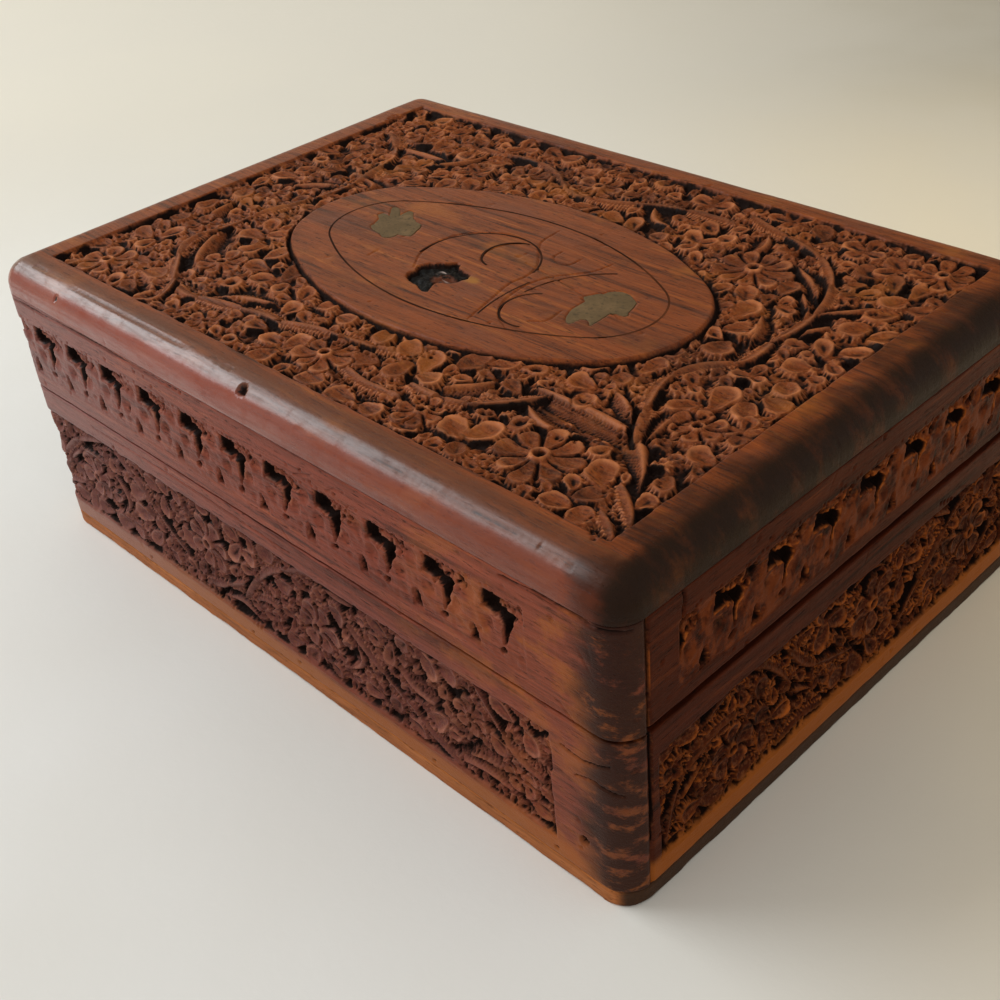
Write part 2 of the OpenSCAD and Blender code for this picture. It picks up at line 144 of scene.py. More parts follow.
def smooth_line(points, step=0.35):
    """Points every step mm along a curve through the given ones, and the run to each."""
    p = np.array(points, float)
    p = np.vstack([2 * p[0] - p[1], p, 2 * p[-1] - p[-2]])
    pieces = []
    for a, b, c, d in zip(p, p[1:], p[2:], p[3:]):
        count = max(2, int(np.linalg.norm(c - b) / step))
        t = np.linspace(0, 1, count, endpoint=False)[:, None]
        pieces.append(0.5 * (2 * b + (c - a) * t + (2 * a - 5 * b + 4 * c - d) * t ** 2
                             + (3 * b - a - 3 * c + d) * t ** 3))
    line = np.vstack(pieces + [p[-2:-1]])
    run = np.concatenate([[0], np.cumsum(np.linalg.norm(np.diff(line, axis=0), axis=1))])
    return line, run

# %% [markdown]
# ## A face laid flat
# `Face` is a planed face unrolled on the bench: u runs along it, v across it, and `h` is the
# height over the planed surface in millimetres, so carving makes it negative. Each cut only
# touches a small window of the grid, which keeps hundreds of cuts quick.

# %% The face on the bench
GROUND = -2.7                       # how deep the carver took the ground down
LOWEST = -3.4                       # no cut goes deeper than this
STEEP = 3.4                         # fall of a motif's side, mm down for 1 mm out
GOUGE = 1.15                        # mm from one gouge mark to the next


class Face:
    """A face laid flat for carving."""

    def __init__(self, u, v):
        self.u, self.v = np.asarray(u, float), np.asarray(v, float)
        self.U, self.V = np.meshgrid(self.u, self.v)
        self.h = np.zeros(self.U.shape)
        self.taken = np.zeros(self.U.shape, bool)     # where a motif stands
        self.field = np.ones(self.U.shape, bool)      # where motifs may be cut
        # lit: tops of gouge marks that catch the light, later painted lighter as highlights
        self.lit = np.zeros(self.U.shape)             # tops of gouge marks
        self.dull = np.zeros(self.U.shape)            # how dark a motif has stayed

    def near(self, x0, x1, y0, y1):
        cols = slice(*np.searchsorted(self.u, [x0, x1]))
        rows = slice(*np.searchsorted(self.v, [y0, y1]))
        return rows, cols

    def stand(self, win, out, top, moat=0.55, moat_depth=-1.8):
        """Cuts a moat round a motif and lets the motif stand. out is the distance outside its
        outline in mm, negative inside, and top the height of its surface."""
        h, may = self.h[win], self.field[win]
        wall = top - STEEP * np.maximum(out, 0)
        ditch = moat_depth + STEEP * np.maximum(out - moat, 0)
        cut = np.where(out > 0, np.minimum(h, np.maximum(ditch, wall)), h)
        cut = np.where(out > 0, np.maximum(cut, np.minimum(wall, top)), top)
        self.h[win] = np.where(may, cut, h)
        self.lit[win] = np.where(out < moat, 0, self.lit[win])
        self.taken[win] |= (out < 0.3) & may

    def cut(self, win, depth):
        """Takes the surface down to depth wherever it is higher."""
        self.h[win] = np.minimum(self.h[win], depth)


def lines(low, high, step):
    """Evenly spaced grid lines from low to high."""
    return np.linspace(low, high, max(2, int(round((high - low) / step)) + 1))

# %% [markdown]
# ## The carver's motifs
# The photograph shows a small stock of motifs, cut over and over: single petals scooped out
# like spoons, flowers of hollowed petals round a drilled eye, stems with one sharp edge, curved
# leaves that fall away in a comb of little gouge marks, and rows of punched holes. Each is a
# function here, with the place and the size as its values. Two more maps go with the heights:
# `lit` marks the tops of gouge marks that catch the light, where the finish paints a lighter
# highlight, and `dull` the motifs that have stayed dark.

# %% Single petals
def skirt(face, win, out, angle, pitch_at, facing, low=-2.6, long=2.0):
    """A slope scored with gouge marks, that runs down to the ground from a motif's foot.
    facing says where: 1 in the middle of its side, below 0 on the other side."""
    teeth = 0.5 + 0.5 * np.cos(angle * pitch_at)
    run = np.clip(out / long, 0, 1)
    slope = -0.45 + (low + 0.45) * run ** 0.9 - 0.95 * teeth * ease(0.0, 0.2, run)
    there = (out > 0) & (out < long) & (facing > 0.1) & face.field[win] & ~face.taken[win]
    up = there & (slope > face.h[win])
    # The tops of these gouge marks go into lit, where the finish paints a highlight.
    face.lit[win] = np.where(up, (1 - teeth) ** 2 * (1 - 0.5 * run), face.lit[win])
    face.h[win] = np.where(up, slope, face.h[win])


def bud(face, x, y, r, seed=0, hollow=1.15, lean=0.55, toward=None):
    """A petal scooped out with a round gouge, lower where it meets its neighbours. The
    outer side runs down in gouge marks, the rest stands over a dark gap. toward is the
    direction of its narrow end."""
    dice = np.random.default_rng(int(1000 * abs(x) + 37 * abs(y)) + seed)
    turn, way, spin = dice.uniform(0, 2 * math.pi, 3)
    if toward is not None:
        turn = toward + dice.uniform(-0.3, 0.3)
        way = turn + dice.uniform(-0.7, 0.7)
    squash, dull = dice.uniform(0.66, 0.90), dice.uniform(0.0, 0.65)
    win = face.near(x - r - 3.2, x + r + 3.2, y - r - 3.2, y + r + 3.2)
    dx, dy = face.U[win] - x, face.V[win] - y
    a = np.arctan2(dy, dx)
    wobble = 1 + 0.045 * np.cos(2 * a + spin) + 0.045 * np.cos(3 * a + way) \
        + 0.025 * np.cos(5 * a + 2 * spin)
    long_way = (dx * math.cos(turn) + dy * math.sin(turn)) / (1.08 * r * wobble)
    narrow = squash * (1 - 0.36 * np.clip(long_way, -0.4, 1.0))
    cross_way = (-dx * math.sin(turn) + dy * math.cos(turn)) / (r * narrow * wobble)
    near = np.hypot(long_way, cross_way)
    crease = np.abs(cross_way + 0.16 * math.sin(spin)) ** 1.4
    scoop = crease + long_way ** 2 * np.where(long_way < 0, 0.95, 0.35)
    top = -0.28 - hollow * (1 - np.clip(scoop, 0, 1))
    top = top - lean * (1 + (dx * math.cos(way) + dy * math.sin(way)) / r) * 0.5
    out = (near - 1) * r * (0.5 + 0.5 * squash)
    skirt(face, win, out, a, max(10, int(r * 5.6)), -np.cos(a - turn) + 0.25 * np.cos(a + spin))
    face.stand(win, out, top, moat=0.20, moat_depth=-1.7)
    face.dull[win] = np.where(out < 0.3, dull, face.dull[win])


def buds(face, places, r, seed=0):
    """Buds that turn their narrow ends towards their neighbours, so that they gather in
    rosettes and pairs."""
    at = np.array(places, float)
    for n, (x, y) in enumerate(places):
        gap = np.hypot(at[:, 0] - x, at[:, 1] - y)
        near = (gap < 2.9 * r) & (gap > 0)
        toward = None
        if near.any():
            mx, my = at[near].mean(0)
            toward = math.atan2(my - y, mx - x)
        bud(face, x, y, r * (1 + 0.12 * math.sin(7.0 * n)), seed + n, toward=toward)


def ring_bud(face, x, y, r, seed=0):
    """A bud whose middle is drilled."""
    bud(face, x, y, r, seed, hollow=0.4)
    win = face.near(x - r, x + r, y - r, y + r)
    dist = np.hypot(face.U[win] - x, face.V[win] - y)
    face.cut(win, -2.0 + 3 * np.maximum(dist - 0.36 * r, 0))

# %% Rosettes and flowers
def cluster(face, x, y, r, seed=0, count=None):
    """A rosette of a few petals that touch in the middle."""
    count = count or 3 + seed % 2
    dice = np.random.default_rng(seed)
    for k in range(count):
        a = 2 * math.pi * k / count + 0.9 * (seed % 7) + 0.5 + dice.uniform(-0.15, 0.15)
        off = (0.62 + 0.13 * count) * r * dice.uniform(0.92, 1.08)
        bud(face, x + off * math.cos(a), y + off * math.sin(a), r * dice.uniform(0.88, 1.08),
            seed + k, toward=a + math.pi)
    if count > 3:
        hole(face, x, y, 0.45, 1.6)


def flower(face, x, y, r, petals, seed=0):
    """Hollowed petals round a collar with a drilled eye."""
    dice = np.random.default_rng(int(900 * abs(x) + 41 * abs(y)) + seed)
    first = dice.uniform(0, 2 * math.pi)
    sizes, leans = dice.uniform(0.84, 1.06, petals), dice.uniform(-1, 1, petals)
    dulls = dice.uniform(0.0, 0.6, petals)
    win = face.near(x - r - 3.0, x + r + 3.0, y - r - 3.0, y + r + 3.0)
    dx, dy = face.U[win] - x, face.V[win] - y
    dist, a = np.hypot(dx, dy), np.arctan2(dy, dx) - first
    sector = a * petals / (2 * math.pi)
    index = np.round(sector).astype(int)
    across = 2 * (sector - index)                     # -1 to 1 over one petal
    size, lean = sizes[index % petals], leans[index % petals]
    outline = r * size * (1 - 0.30 * np.abs(across) ** 2.6)
    along = np.clip(dist / outline, 0, 1)
    dish = 0.95 * ease(0.15, 0.62, along) * (1 - 0.9 * ease(0.62, 1.0, along))
    top = -0.26 - dish * (1 - np.abs(across + 0.25 * lean) ** 1.3) - 0.45 * (1 + lean * across)
    top = top - 0.35 * (1 - along)
    gap = ease(0.70, 1.0, np.abs(across)) * ease(0.16, 0.5, along)
    top = top - 1.9 * gap
    collar = ease(0.27, 0.19, dist / r)
    top = top * (1 - collar) + collar * (-0.30)
    eye = max(0.75, 0.075 * r)
    top = np.minimum(top, -2.4 + 3.2 * np.maximum(dist - eye, 0))
    out = dist - outline
    skirt(face, win, out, a, int(r * 5.0), np.cos(a + first + math.pi / 2) + 0.2)
    face.stand(win, out, top, moat=0.35, moat_depth=-2.0)
    face.dull[win] = np.where(out < 0.3, dulls[index % petals], face.dull[win])

# %% Stems
FAR = 1e3                           # a distance that no curve comes near


def headings(line):
    """The direction of a curve at each of its points."""
    way = np.gradient(line, axis=0)
    return way / np.linalg.norm(way, axis=1)[:, None]


def trace(face, points, reach):
    """For the grid round a curve: distance to it, which side, and the share of the run."""
    line, run = smooth_line(points)
    (x0, y0), (x1, y1) = line.min(0) - reach, line.max(0) + reach
    win = face.near(x0, x1, y0, y1)
    U, V = face.U[win], face.V[win]
    dist, side, share = np.full(U.shape, FAR), np.zeros(U.shape), np.zeros(U.shape)
    if U.size == 0:
        return win, dist, side, share, run[-1]
    for (px, py), (hx, hy), s in zip(line, headings(line), run / run[-1]):
        cols = slice(*np.searchsorted(U[0], [px - reach, px + reach]))
        rows = slice(*np.searchsorted(V[:, 0], [py - reach, py + reach]))
        dx, dy = U[rows, cols] - px, V[rows, cols] - py
        d = np.hypot(dx, dy)
        closer = d < dist[rows, cols]
        dist[rows, cols] = np.where(closer, d, dist[rows, cols])
        side[rows, cols] = np.where(closer, np.sign(hx * dy - hy * dx), side[rows, cols])
        share[rows, cols] = np.where(closer, s, share[rows, cols])
    return win, dist, side, share, run[-1]


STROKE = 17.0                       # a long stem is cut in strokes of about this length


def stem(face, points, wide=3.0, tip=0.35, sharp=1):
    """A stem cut in a few swelling strokes, each a narrow ribbon with one sharp edge over a
    dark gap. On its other side the ground rises in a slope that is scored like a comb."""
    half, comb_long = 0.36 * wide, 0.95 * wide
    win, dist, side, share, length = trace(face, points, half + comb_long + 0.4)
    strokes = max(1, round(length / STROKE))
    stroke = np.clip(share, 0, 0.9999) * strokes
    sharp = sharp * np.where(stroke.astype(int) % 2, -1, 1)
    swell = tip + (1 - tip) * np.abs(np.sin(math.pi * stroke)) ** 0.6
    width = half * swell
    across = side * sharp * dist / np.maximum(width, 0.2)          # 1 at the sharp edge
    out = dist - width
    teeth = 0.5 + 0.5 * np.cos(2 * math.pi * (share * length + 0.55 * dist) / GOUGE)
    slope = np.clip(0.5 * (1 - across), 0, 1)
    top = -0.30 - 0.55 * slope - 0.40 * teeth * ease(0.30, 0.8, slope)
    run = out / (comb_long * swell)
    comb = (side * sharp < 0) & (out > 0) & (run < 1) & face.field[win] & ~face.taken[win]
    scored = -0.55 - 1.25 * np.clip(run, 0, 1) - 1.1 * teeth * ease(0.0, 0.2, run)
    up = comb & (scored > face.h[win])
    face.h[win] = np.where(up, scored, face.h[win])
    # The tops of these gouge marks go into lit, where the finish paints a highlight.
    face.lit[win] = np.where(up, (1 - teeth) ** 2, face.lit[win])
    face.stand(win, out, top, moat=np.where(across > 0, 1.1, 0.0),
               moat_depth=np.where(across > 0, GROUND, -1.4))
    face.dull[win] = np.where(out < 0.2, 0.62, face.dull[win])

# %% Leaves
def leaf(face, points, wide=6.0, sharp=1):
    """A curved leaf: one crest, a steep dark side, and a long slope scored by a gouge."""
    half = wide / 2
    win, dist, side, share, length = trace(face, points, half + 2.6)
    width = half * np.sin(math.pi * np.clip(share, 0.0, 1.0) ** 0.8) ** 0.75 + 0.2
    across = side * sharp * dist / np.maximum(width, 0.2)
    crest = 0.55
    slope = np.where(across > crest, (across - crest) / (1 - crest) * 1.2,
                     (crest - across) / (1 + crest) * 2.1)
    top = -0.26 - np.clip(slope, 0, 2.3) ** 1.05
    teeth = np.cos(2 * math.pi * (share * length + 0.9 * dist) / GOUGE)
    scored = ease(crest - 0.1, 0.0, across)
    top = top - 0.95 * scored * (0.5 + 0.5 * teeth)
    face.stand(win, dist - width, top, moat=np.where(across > 0, 1.0, 0.2),
               moat_depth=np.where(across > 0, GROUND, -2.2))
    face.dull[win] = np.where(dist < width, 0.5, face.dull[win])
    # Where a leaf's scored slope catches the light, lit gets a painted highlight.
    face.lit[win] = np.where(dist < width, 0.5 * scored * (0.5 - 0.5 * teeth) ** 2, face.lit[win])

# %% Punched holes
def punches(face, points, offset=0.0, pitch=1.7, r=0.48, depth=1.1, seed=0, rows=1):
    """A row of small holes beside a curve, as struck with a pointed punch."""
    line, run = smooth_line(points)
    heading = headings(line)
    dice = np.random.default_rng(int(abs(line[0, 0]) * 77 + abs(line[0, 1]) * 13) + seed)
    for row in range(rows):
        for s in np.arange(pitch * (0.5 + 0.5 * row), run[-1], pitch):
            i = min(np.searchsorted(run, s), len(line) - 1)
            away = offset + (1 if offset >= 0 else -1) * row * 1.35 + dice.uniform(-0.15, 0.15)
            x = line[i, 0] - heading[i, 1] * away + dice.uniform(-0.2, 0.2)
            y = line[i, 1] + heading[i, 0] * away + dice.uniform(-0.2, 0.2)
            hole(face, x, y, r * dice.uniform(0.8, 1.2), depth, relative=True)


def hole(face, x, y, r, depth, relative=False):
    """A small round hole, to a depth below the planed face or below what is there."""
    win = face.near(x - r - 0.9, x + r + 0.9, y - r - 0.9, y + r + 0.9)
    if face.h[win].size == 0:
        return
    dist = np.hypot(face.U[win] - x, face.V[win] - y)
    if relative:
        face.h[win] -= depth * ease(r + 0.25, 0.3 * r, dist)
        face.h[win] = np.maximum(face.h[win], -3.3)
    else:
        face.cut(win, -depth + 4.0 * np.maximum(dist - r, 0))

# %% The ground
def raise_ground(face, seed):
    """Lets the ground rise in places to a rough shelf, as it does beside the stems."""
    shelf = 0.25 + 0.9 * patchy(face.U, face.V, 5.0, seed + 3)
    scored = 0.25 * patchy(face.U + 0.6 * face.V, face.V / 4.0, 0.75, seed + 4)
    free = (face.h < -1.7) & ~face.taken
    lift = np.clip(shelf, 0, 1.3)
    face.h = np.where(free, face.h + lift + scored * lift, face.h)


def sink_ground(face, inside, seed):
    """Takes the field down to the ground. inside is the distance in from its border."""
    ground = GROUND + 0.35 * patchy(face.U, face.V, 3.1, seed) \
        + 0.20 * patchy(face.U, face.V, 1.1, seed + 1)
    wavy = inside + 0.22 * patchy(face.U, face.V, 4.0, seed + 2)
    face.h = np.where(wavy > 0, np.maximum(ground, -STEEP * 1.3 * wavy), face.h)


def stipple(face, inside, seed, spacing=1.5):
    """Punch marks all over the ground that is still bare."""
    dice = np.random.default_rng(seed)
    free = (~face.taken) & (inside > 0.3) & (face.h < -1.0)
    rows, cols = np.nonzero(free)
    cell = abs(face.u[len(face.u) // 2] - face.u[len(face.u) // 2 - 1]) ** 2
    count = int(len(rows) * cell / spacing ** 2)
    for k in dice.integers(0, len(rows), count):
        hole(face, face.u[cols[k]], face.v[rows[k]], dice.uniform(0.35, 0.55),
             dice.uniform(0.5, 0.9), relative=True)

# %% Filling the gaps
def fill_gaps(face, inside, seed, sizes=(2.3, 3.3), tries=9000, clear=1.1):
    """Sets more petals wherever enough ground is still bare: a rosette where one fits, or
    else a pair or a single one. Dark gaps stay between them."""
    dice = np.random.default_rng(seed)
    placed = 0
    for petals, share, scale in ((4, 2.05, 1), (3, 1.95, 1), (2, 1.6, 1), (1, 1.0, 1),
                                 (1, 0.9, 0.75), (1, 0.9, 0.55)):
        gap = clear * (1 if petals > 1 else scale)
        for _ in range(tries):
            x = dice.uniform(face.u[0], face.u[-1])
            y = dice.uniform(face.v[0], face.v[-1])
            r = dice.uniform(*sizes) * scale
            i, j = np.searchsorted(face.v, y), np.searchsorted(face.u, x)
            need = r * share
            if i >= len(face.v) or j >= len(face.u) or inside[i, j] < 0.72 * need \
                    or face.taken[i, j]:
                continue
            win = face.near(x - need - gap, x + need + gap, y - need - gap, y + need + gap)
            close = np.hypot(face.U[win] - x, face.V[win] - y) < need + gap - 0.55
            if (face.taken[win] & close).any():
                continue
            if petals > 1:
                cluster(face, x, y, r, seed=placed, count=petals)
            else:
                bud(face, x, y, r, seed=placed)
            placed += petals
    return placed

# %% [markdown]
# ## Wear
# A hundred years of hands round off what stands highest, and leave dents, scratches and little
# nicks along the edges. The same wear goes over every face, after its carving.

# %% Wear on a face
def weather(face, seed, scratches=26, dents=30):
    """Soft unevenness of hand planing, scratches and dents."""
    dice = np.random.default_rng(seed)
    face.h += 0.05 * patchy(face.U, face.V, 14.0, seed) \
        + 0.012 * patchy(face.U, face.V, 2.6, seed + 5)
    face.h += 0.018 * patchy(face.U / 9.0, face.V, 0.7, seed + 6)
    u0, u1, v0, v1 = face.u[0], face.u[-1], face.v[0], face.v[-1]
    for _ in range(scratches):
        x, y, turn = dice.uniform(u0, u1), dice.uniform(v0, v1), dice.normal(0, 0.5)
        length, depth = dice.uniform(3, 16), dice.uniform(0.08, 0.22)
        ends = [(x, y), (x + length * math.cos(turn) / 2, y + length * math.sin(turn) / 2
                         + dice.uniform(-0.6, 0.6)),
                (x + length * math.cos(turn), y + length * math.sin(turn))]
        win, dist, _, share, _ = trace(face, ends, 1.2)
        face.h[win] -= depth * ease(0.5, 0.05, dist) * np.sin(math.pi * share)
    for _ in range(dents):
        x, y, r = dice.uniform(u0, u1), dice.uniform(v0, v1), dice.uniform(0.4, 1.2)
        hole(face, x, y, r, dice.uniform(0.12, 0.4), relative=True)


def crack(face, points, wide=0.35, depth=0.9):
    """A thin split along the grain."""
    win, dist, _, share, _ = trace(face, points, wide + 1.0)
    width = wide * np.sin(math.pi * np.clip(share, 0.02, 0.98)) ** 0.5
    face.h[win] -= depth * ease(width + 0.25, 0.1, dist)

# %% [markdown]
# ## The top board's field
# The whole top inside a plain margin is carved: a vine runs round the oval, flowers sit in its
# bends, and petals fill what is left. The places below are read off the photograph, in
# millimetres from the middle of the box. Where the photograph shows only a crowd of petals, the
# gaps are filled the way the carver filled them: with a small rosette, or with one more petal.

# %% The grid of the top board
FIELD_X, FIELD_Y = 113.0, 76.5
TOP_ARC = CORNER * math.pi / 2      # length of the rounding
TOP_SIDE = BOX_TOP - LID_TOP - CORNER - 0.3    # ends a little above the seam
EDGE_U, EDGE_V = HALF_W - CORNER, HALF_D - CORNER
REACH_U, REACH_V = EDGE_U + TOP_ARC + TOP_SIDE, EDGE_V + TOP_ARC + TOP_SIDE
FINE, MIDDLE, COARSE = 0.32, 0.42, 0.75


def field_lines(edge, reach, turn, fine_low):
    """Fine lines over the field, finest on the near side of turn, and coarser ones over the
    rounding and the side."""
    rim = lines(edge, reach, COARSE)
    steps = (FINE, MIDDLE) if fine_low else (MIDDLE, FINE)
    field = np.concatenate([lines(-edge, turn, steps[0])[:-1], lines(turn, edge, steps[1])])
    return np.concatenate([-rim[:0:-1], field, rim[1:]])


top = Face(field_lines(FIELD_X + 1.5, REACH_U, -25.0, False),
           field_lines(FIELD_Y + 1.5, REACH_V, 10.0, True))
top_inside = np.minimum(FIELD_X - np.abs(top.U - 0.2), FIELD_Y - np.abs(top.V - 0.6))
top.field = top_inside > 0.35
sink_ground(top, top_inside, seed=11)
print("top board grid", top.h.shape)

# %% Its vine and leaves
TOP_STEMS = [   # points of a stem, its width, and the side of its sharp edge
    ([(90, 13), (90, 0), (83, -9), (80.4, -17), (82, -25), (88, -35.6), (93, -44)], 3.6, 1),
    ([(90, 13), (90.6, 23), (89, 36.5), (84, 46), (76, 55), (69, 60), (61, 63), (51, 65),
      (41, 69)], 3.4, -1),
    ([(100.8, -58.4), (109, -65), (112, -68)], 3.0, 1),
    ([(104, -68.6), (108, -71), (112.6, -74.5)], 2.6, 1),
    ([(9.3, -61.8), (21, -65), (34, -64)], 3.0, 1),
    ([(32, -58.4), (44, -58.4), (51, -55), (58.4, -47.4), (62.7, -42)], 3.2, 1),
    ([(-82, -4), (-86, -15), (-87, -28), (-89, -36.4), (-87, -45), (-79.6, -53), (-69.4, -61),
      (-57.6, -64), (-42, -61), (-29.6, -58), (-21, -58)], 3.4, -1),
    ([(-68.6, -61), (-64, -68), (-64, -72.8)], 2.6, 1),
    ([(-111.8, 67.8), (-106, 56), (-97.4, 50), (-89.7, 43.3), (-84.7, 34.8), (-81.3, 24.6),
      (-79.6, 15.3), (-81, 1)], 3.8, 1),
    ([(-89, 52), (-74, 60), (-58, 62), (-44, 64), (-30, 60), (-14, 52), (0, 53), (14, 60),
      (28, 62), (40, 62)], 3.0, -1),
    ([(-21, -58), (-8, -54), (4, -52), (14, -50), (24, -42)], 2.8, 1),
]
TOP_LEAVES = [  # points along a leaf, its width, and the side of its steep face
    ([(71, 50), (79, 46), (85.5, 40), (90, 31.4)], 5.0, -1),
    ([(81, 38), (88, 32), (90, 25)], 4.2, -1),
    ([(100.4, 42.4), (93, 34), (90.6, 30)], 4.4, 1),
    ([(97, 27), (93, 22), (91.4, 16)], 4.0, 1),
    ([(80, 22), (84, 16), (86.5, 7)], 4.2, -1),
    ([(74.4, -30.5), (79, -33), (85.7, -37)], 4.0, 1),
    ([(58, -40.6), (69, -41.5), (80, -42), (91.4, -44), (100, -51), (105, -57)], 7.0, 1),
    ([(62, -47), (72, -50), (82, -49)], 5.0, -1),
    ([(98, -18), (92, -30), (94, -42)], 5.6, 1),
    ([(-88.9, 46.8), (-79.6, 48.5), (-67.4, 47.5)], 6.4, -1),
    ([(-85.5, -31), (-81, -39), (-74.5, -47.4), (-66.7, -53.3)], 6.0, -1),
    ([(-92, -31), (-98, -26), (-101, -16)], 5.0, 1),
    ([(-81, 14), (-90, 10), (-97, 2)], 5.4, 1),
    ([(-80, 22), (-72, 20), (-70, 12)], 4.6, -1),
    ([(-52, -61), (-42, -54), (-31, -52)], 6.6, -1),
    ([(40, -55), (46, -50), (49, -44)], 4.6, 1),
    ([(-36, 62), (-28, 54), (-30, 48)], 4.4, 1),
    ([(14, 58), (20, 52), (27, 50)], 4.4, -1),
    ([(52, 62), (55, 53), (51, 46)], 4.8, 1),
    ([(-60, 60), (-62, 52), (-71, 41)], 5.0, 1),
]
for points, wide, edge in TOP_LEAVES:
    leaf(top, points, wide, edge)
for points, wide, edge in TOP_STEMS:
    stem(top, points, wide, sharp=edge)
print(len(TOP_STEMS), "stems and", len(TOP_LEAVES), "leaves on the top")

# %% Its buds and flowers
TOP_BUDS = [
    (110, 46.7), (102.4, 47.5), (103.6, 39.8), (102.4, 29.7), (110.5, 29.7), (109, 19.6),
    (101.6, 17), (109, 10), (101.6, 6), (105.5, -4), (108, -11.5), (96.5, -16.5), (103.7, -17.8),
    (91.4, -24.6), (108, -39), (108, -52), (104.5, 56.5), (97, 56.5), (-66.9, -72), (-11, -72),
    (8.5, -72), (21.6, -72.4), (32.6, -72), (45, -72), (62, -71), (94, -71.6), (101.5, -72),
    (55, -65), (62, -62), (94.8, -57.6), (98.5, -65), (-43, -37), (-29.6, -43), (-18.6, -44),
    (-8.5, -45.7), (7.6, -45.5), (19, -46.5), (27.5, -47.4), (36.4, -40.8), (43.6, -37),
    (33, -53.3), (65, -31.3), (71.5, -24), (71, -37.2), (74, -15), (79, 12.8), (81, 2), (74, 22), (69, 29),
    (76, 38), (7.6, 45.5), (16, 45.5), (27, 43), (-5, 46), (-22, 43.6), (-37, 40), (-46, 37.5),
    (-54, 33.5), (-62.8, 28), (5, 74), (-21, 67), (-42.5, 73), (-34.5, 72), (-69.4, 65),
    (-66, 55), (-79.6, 57), (-97, 72.5), (-83, 68.7), (-88.9, 28), (-102.4, 38), (-94.8, 20),
    (-105, 7.7), (-105, -9.3), (-107.5, -22), (-106.7, -33.9), (-98.5, -42), (-106, -47.4),
    (-99, -51.8), (-76, -20), (-75.5, -28), (-68, -22.9), (-67, -34), (-57.6, -32), (-56, -40.5),
    (-47.8, -44.5), (-38.6, -45), (-16, -65.4), (-9, -62), (12.7, -57), (23.7, -55), (-90, -60),
    (-78, -62), (-108, 50), (-109, 30), (44, 53), (36, 56), (64, 72), (88, 58), (-88, 36),
]
TOP_RINGS = [(-84, -72), (-25.4, -72.4), (66, -54), (52, -34), (-105.8, 24), (-53, -52)]
TOP_CLUSTERS = [(38.5, 46.5), (79.6, 69), (93, 64), (26, 70), (-53.9, 70.5), (109, -25.5),
                (-73, 38), (52, 74), (-6, 73)]
TOP_FLOWERS = [(61.8, 42, 11.5, 9), (79, -61, 11.8, 8), (2, -61.5, 9.5, 7), (-98, -66, 9.5, 6),
               (-67, -45.5, 8, 6), (-36, 52, 8.5, 7), (-11, 60, 9, 7), (104.5, 67.5, 9, 8),
               (99.5, -30, 7.5, 6), (-40, -70, 6, 6), (43, -64.5, 7.5, 7), (-93, 60, 7.5, 6),
               (-97, -3, 7, 6), (-95, -32, 6.5, 5), (-106, 60, 6, 5)]
buds(top, TOP_BUDS, 3.9)
for n, (x, y) in enumerate(TOP_CLUSTERS):
    cluster(top, x, y, 3.2, seed=n)
for x, y in TOP_RINGS:
    ring_bud(top, x, y, 3.3)
for x, y, r, petals in TOP_FLOWERS:
    flower(top, x, y, r, petals)
filled = fill_gaps(top, top_inside - 0.6, seed=5, sizes=(2.4, 3.6))
raise_ground(top, seed=13)
stipple(top, top_inside, seed=14)
print(len(TOP_BUDS), "buds and", len(TOP_FLOWERS), "flowers placed,", filled, "gaps filled")

# %% [markdown]
# ## The plain oval
# The oval was left standing at the planed height and drawn with compasses from four centres:
# two small circles for the ends and two large ones for the long sides. Its distance function is
# the same construction, which also gives the line laid parallel to its edge.

# %% The oval and its bed for the inlay
OVAL_A, OVAL_B = 72.5, 41.8         # half its length and half its width
OVAL_END = 0.72 * OVAL_B
OVAL_P = OVAL_A - OVAL_END
OVAL_SIDE = (OVAL_B ** 2 + OVAL_P ** 2 - OVAL_END ** 2) / (2 * (OVAL_B - OVAL_END))
OVAL_Q = OVAL_SIDE - OVAL_B


def from_oval(U, V):
    """Distance outside the oval's edge, negative inside."""
    x, y = np.abs(U), np.abs(V)
    at_end = np.hypot(x - OVAL_P, y) - OVAL_END
    at_side = np.hypot(x, y + OVAL_Q) - OVAL_SIDE
    return np.where(y * OVAL_P > OVAL_Q * (x - OVAL_P), at_side, at_end)


out = from_oval(top.U, top.V)
out = out + 0.18 * patchy(top.U, top.V, 5.0, 32)
oval_top = -0.03 + 0.05 * patchy(top.U, top.V, 21.0, 31)
top.h = np.where(out < 1.5, np.minimum(top.h, np.where(out > 0, -2.5, 0)), top.h)
top.h = np.where(out < 0, oval_top, np.maximum(top.h, oval_top - 2.4 * np.maximum(out, 0)))
top.taken |= out < 0.5
top.lit[out < 1.6] = 0
top.dull[out < 1.6] = 0
top.field[out < 0.8] = False
print("oval", OVAL_A, "by", OVAL_B, "mm, side radius", round(OVAL_SIDE, 1))

# %% Punched rows along the stems
PUNCHED_LEAVES = 10                 # the leaves at the right, which have a row beside them
for points, wide, edge in TOP_STEMS:
    punches(top, points, offset=-edge * (wide / 2 + 0.9), rows=2)
for points, wide, edge in TOP_LEAVES[:PUNCHED_LEAVES]:
    punches(top, points, offset=edge * (wide / 2 + 0.7))

# %% [markdown]
# ## Folding the top board
# The flat map is folded over the board's rounded edge. Along an edge the fold is a quarter
# circle. At a corner, where two edges meet, the square patch of the map is turned into a
# quarter of a ball: the larger of the two distances says how far down the edge a point lies,
# and their ratio says how far round the corner.

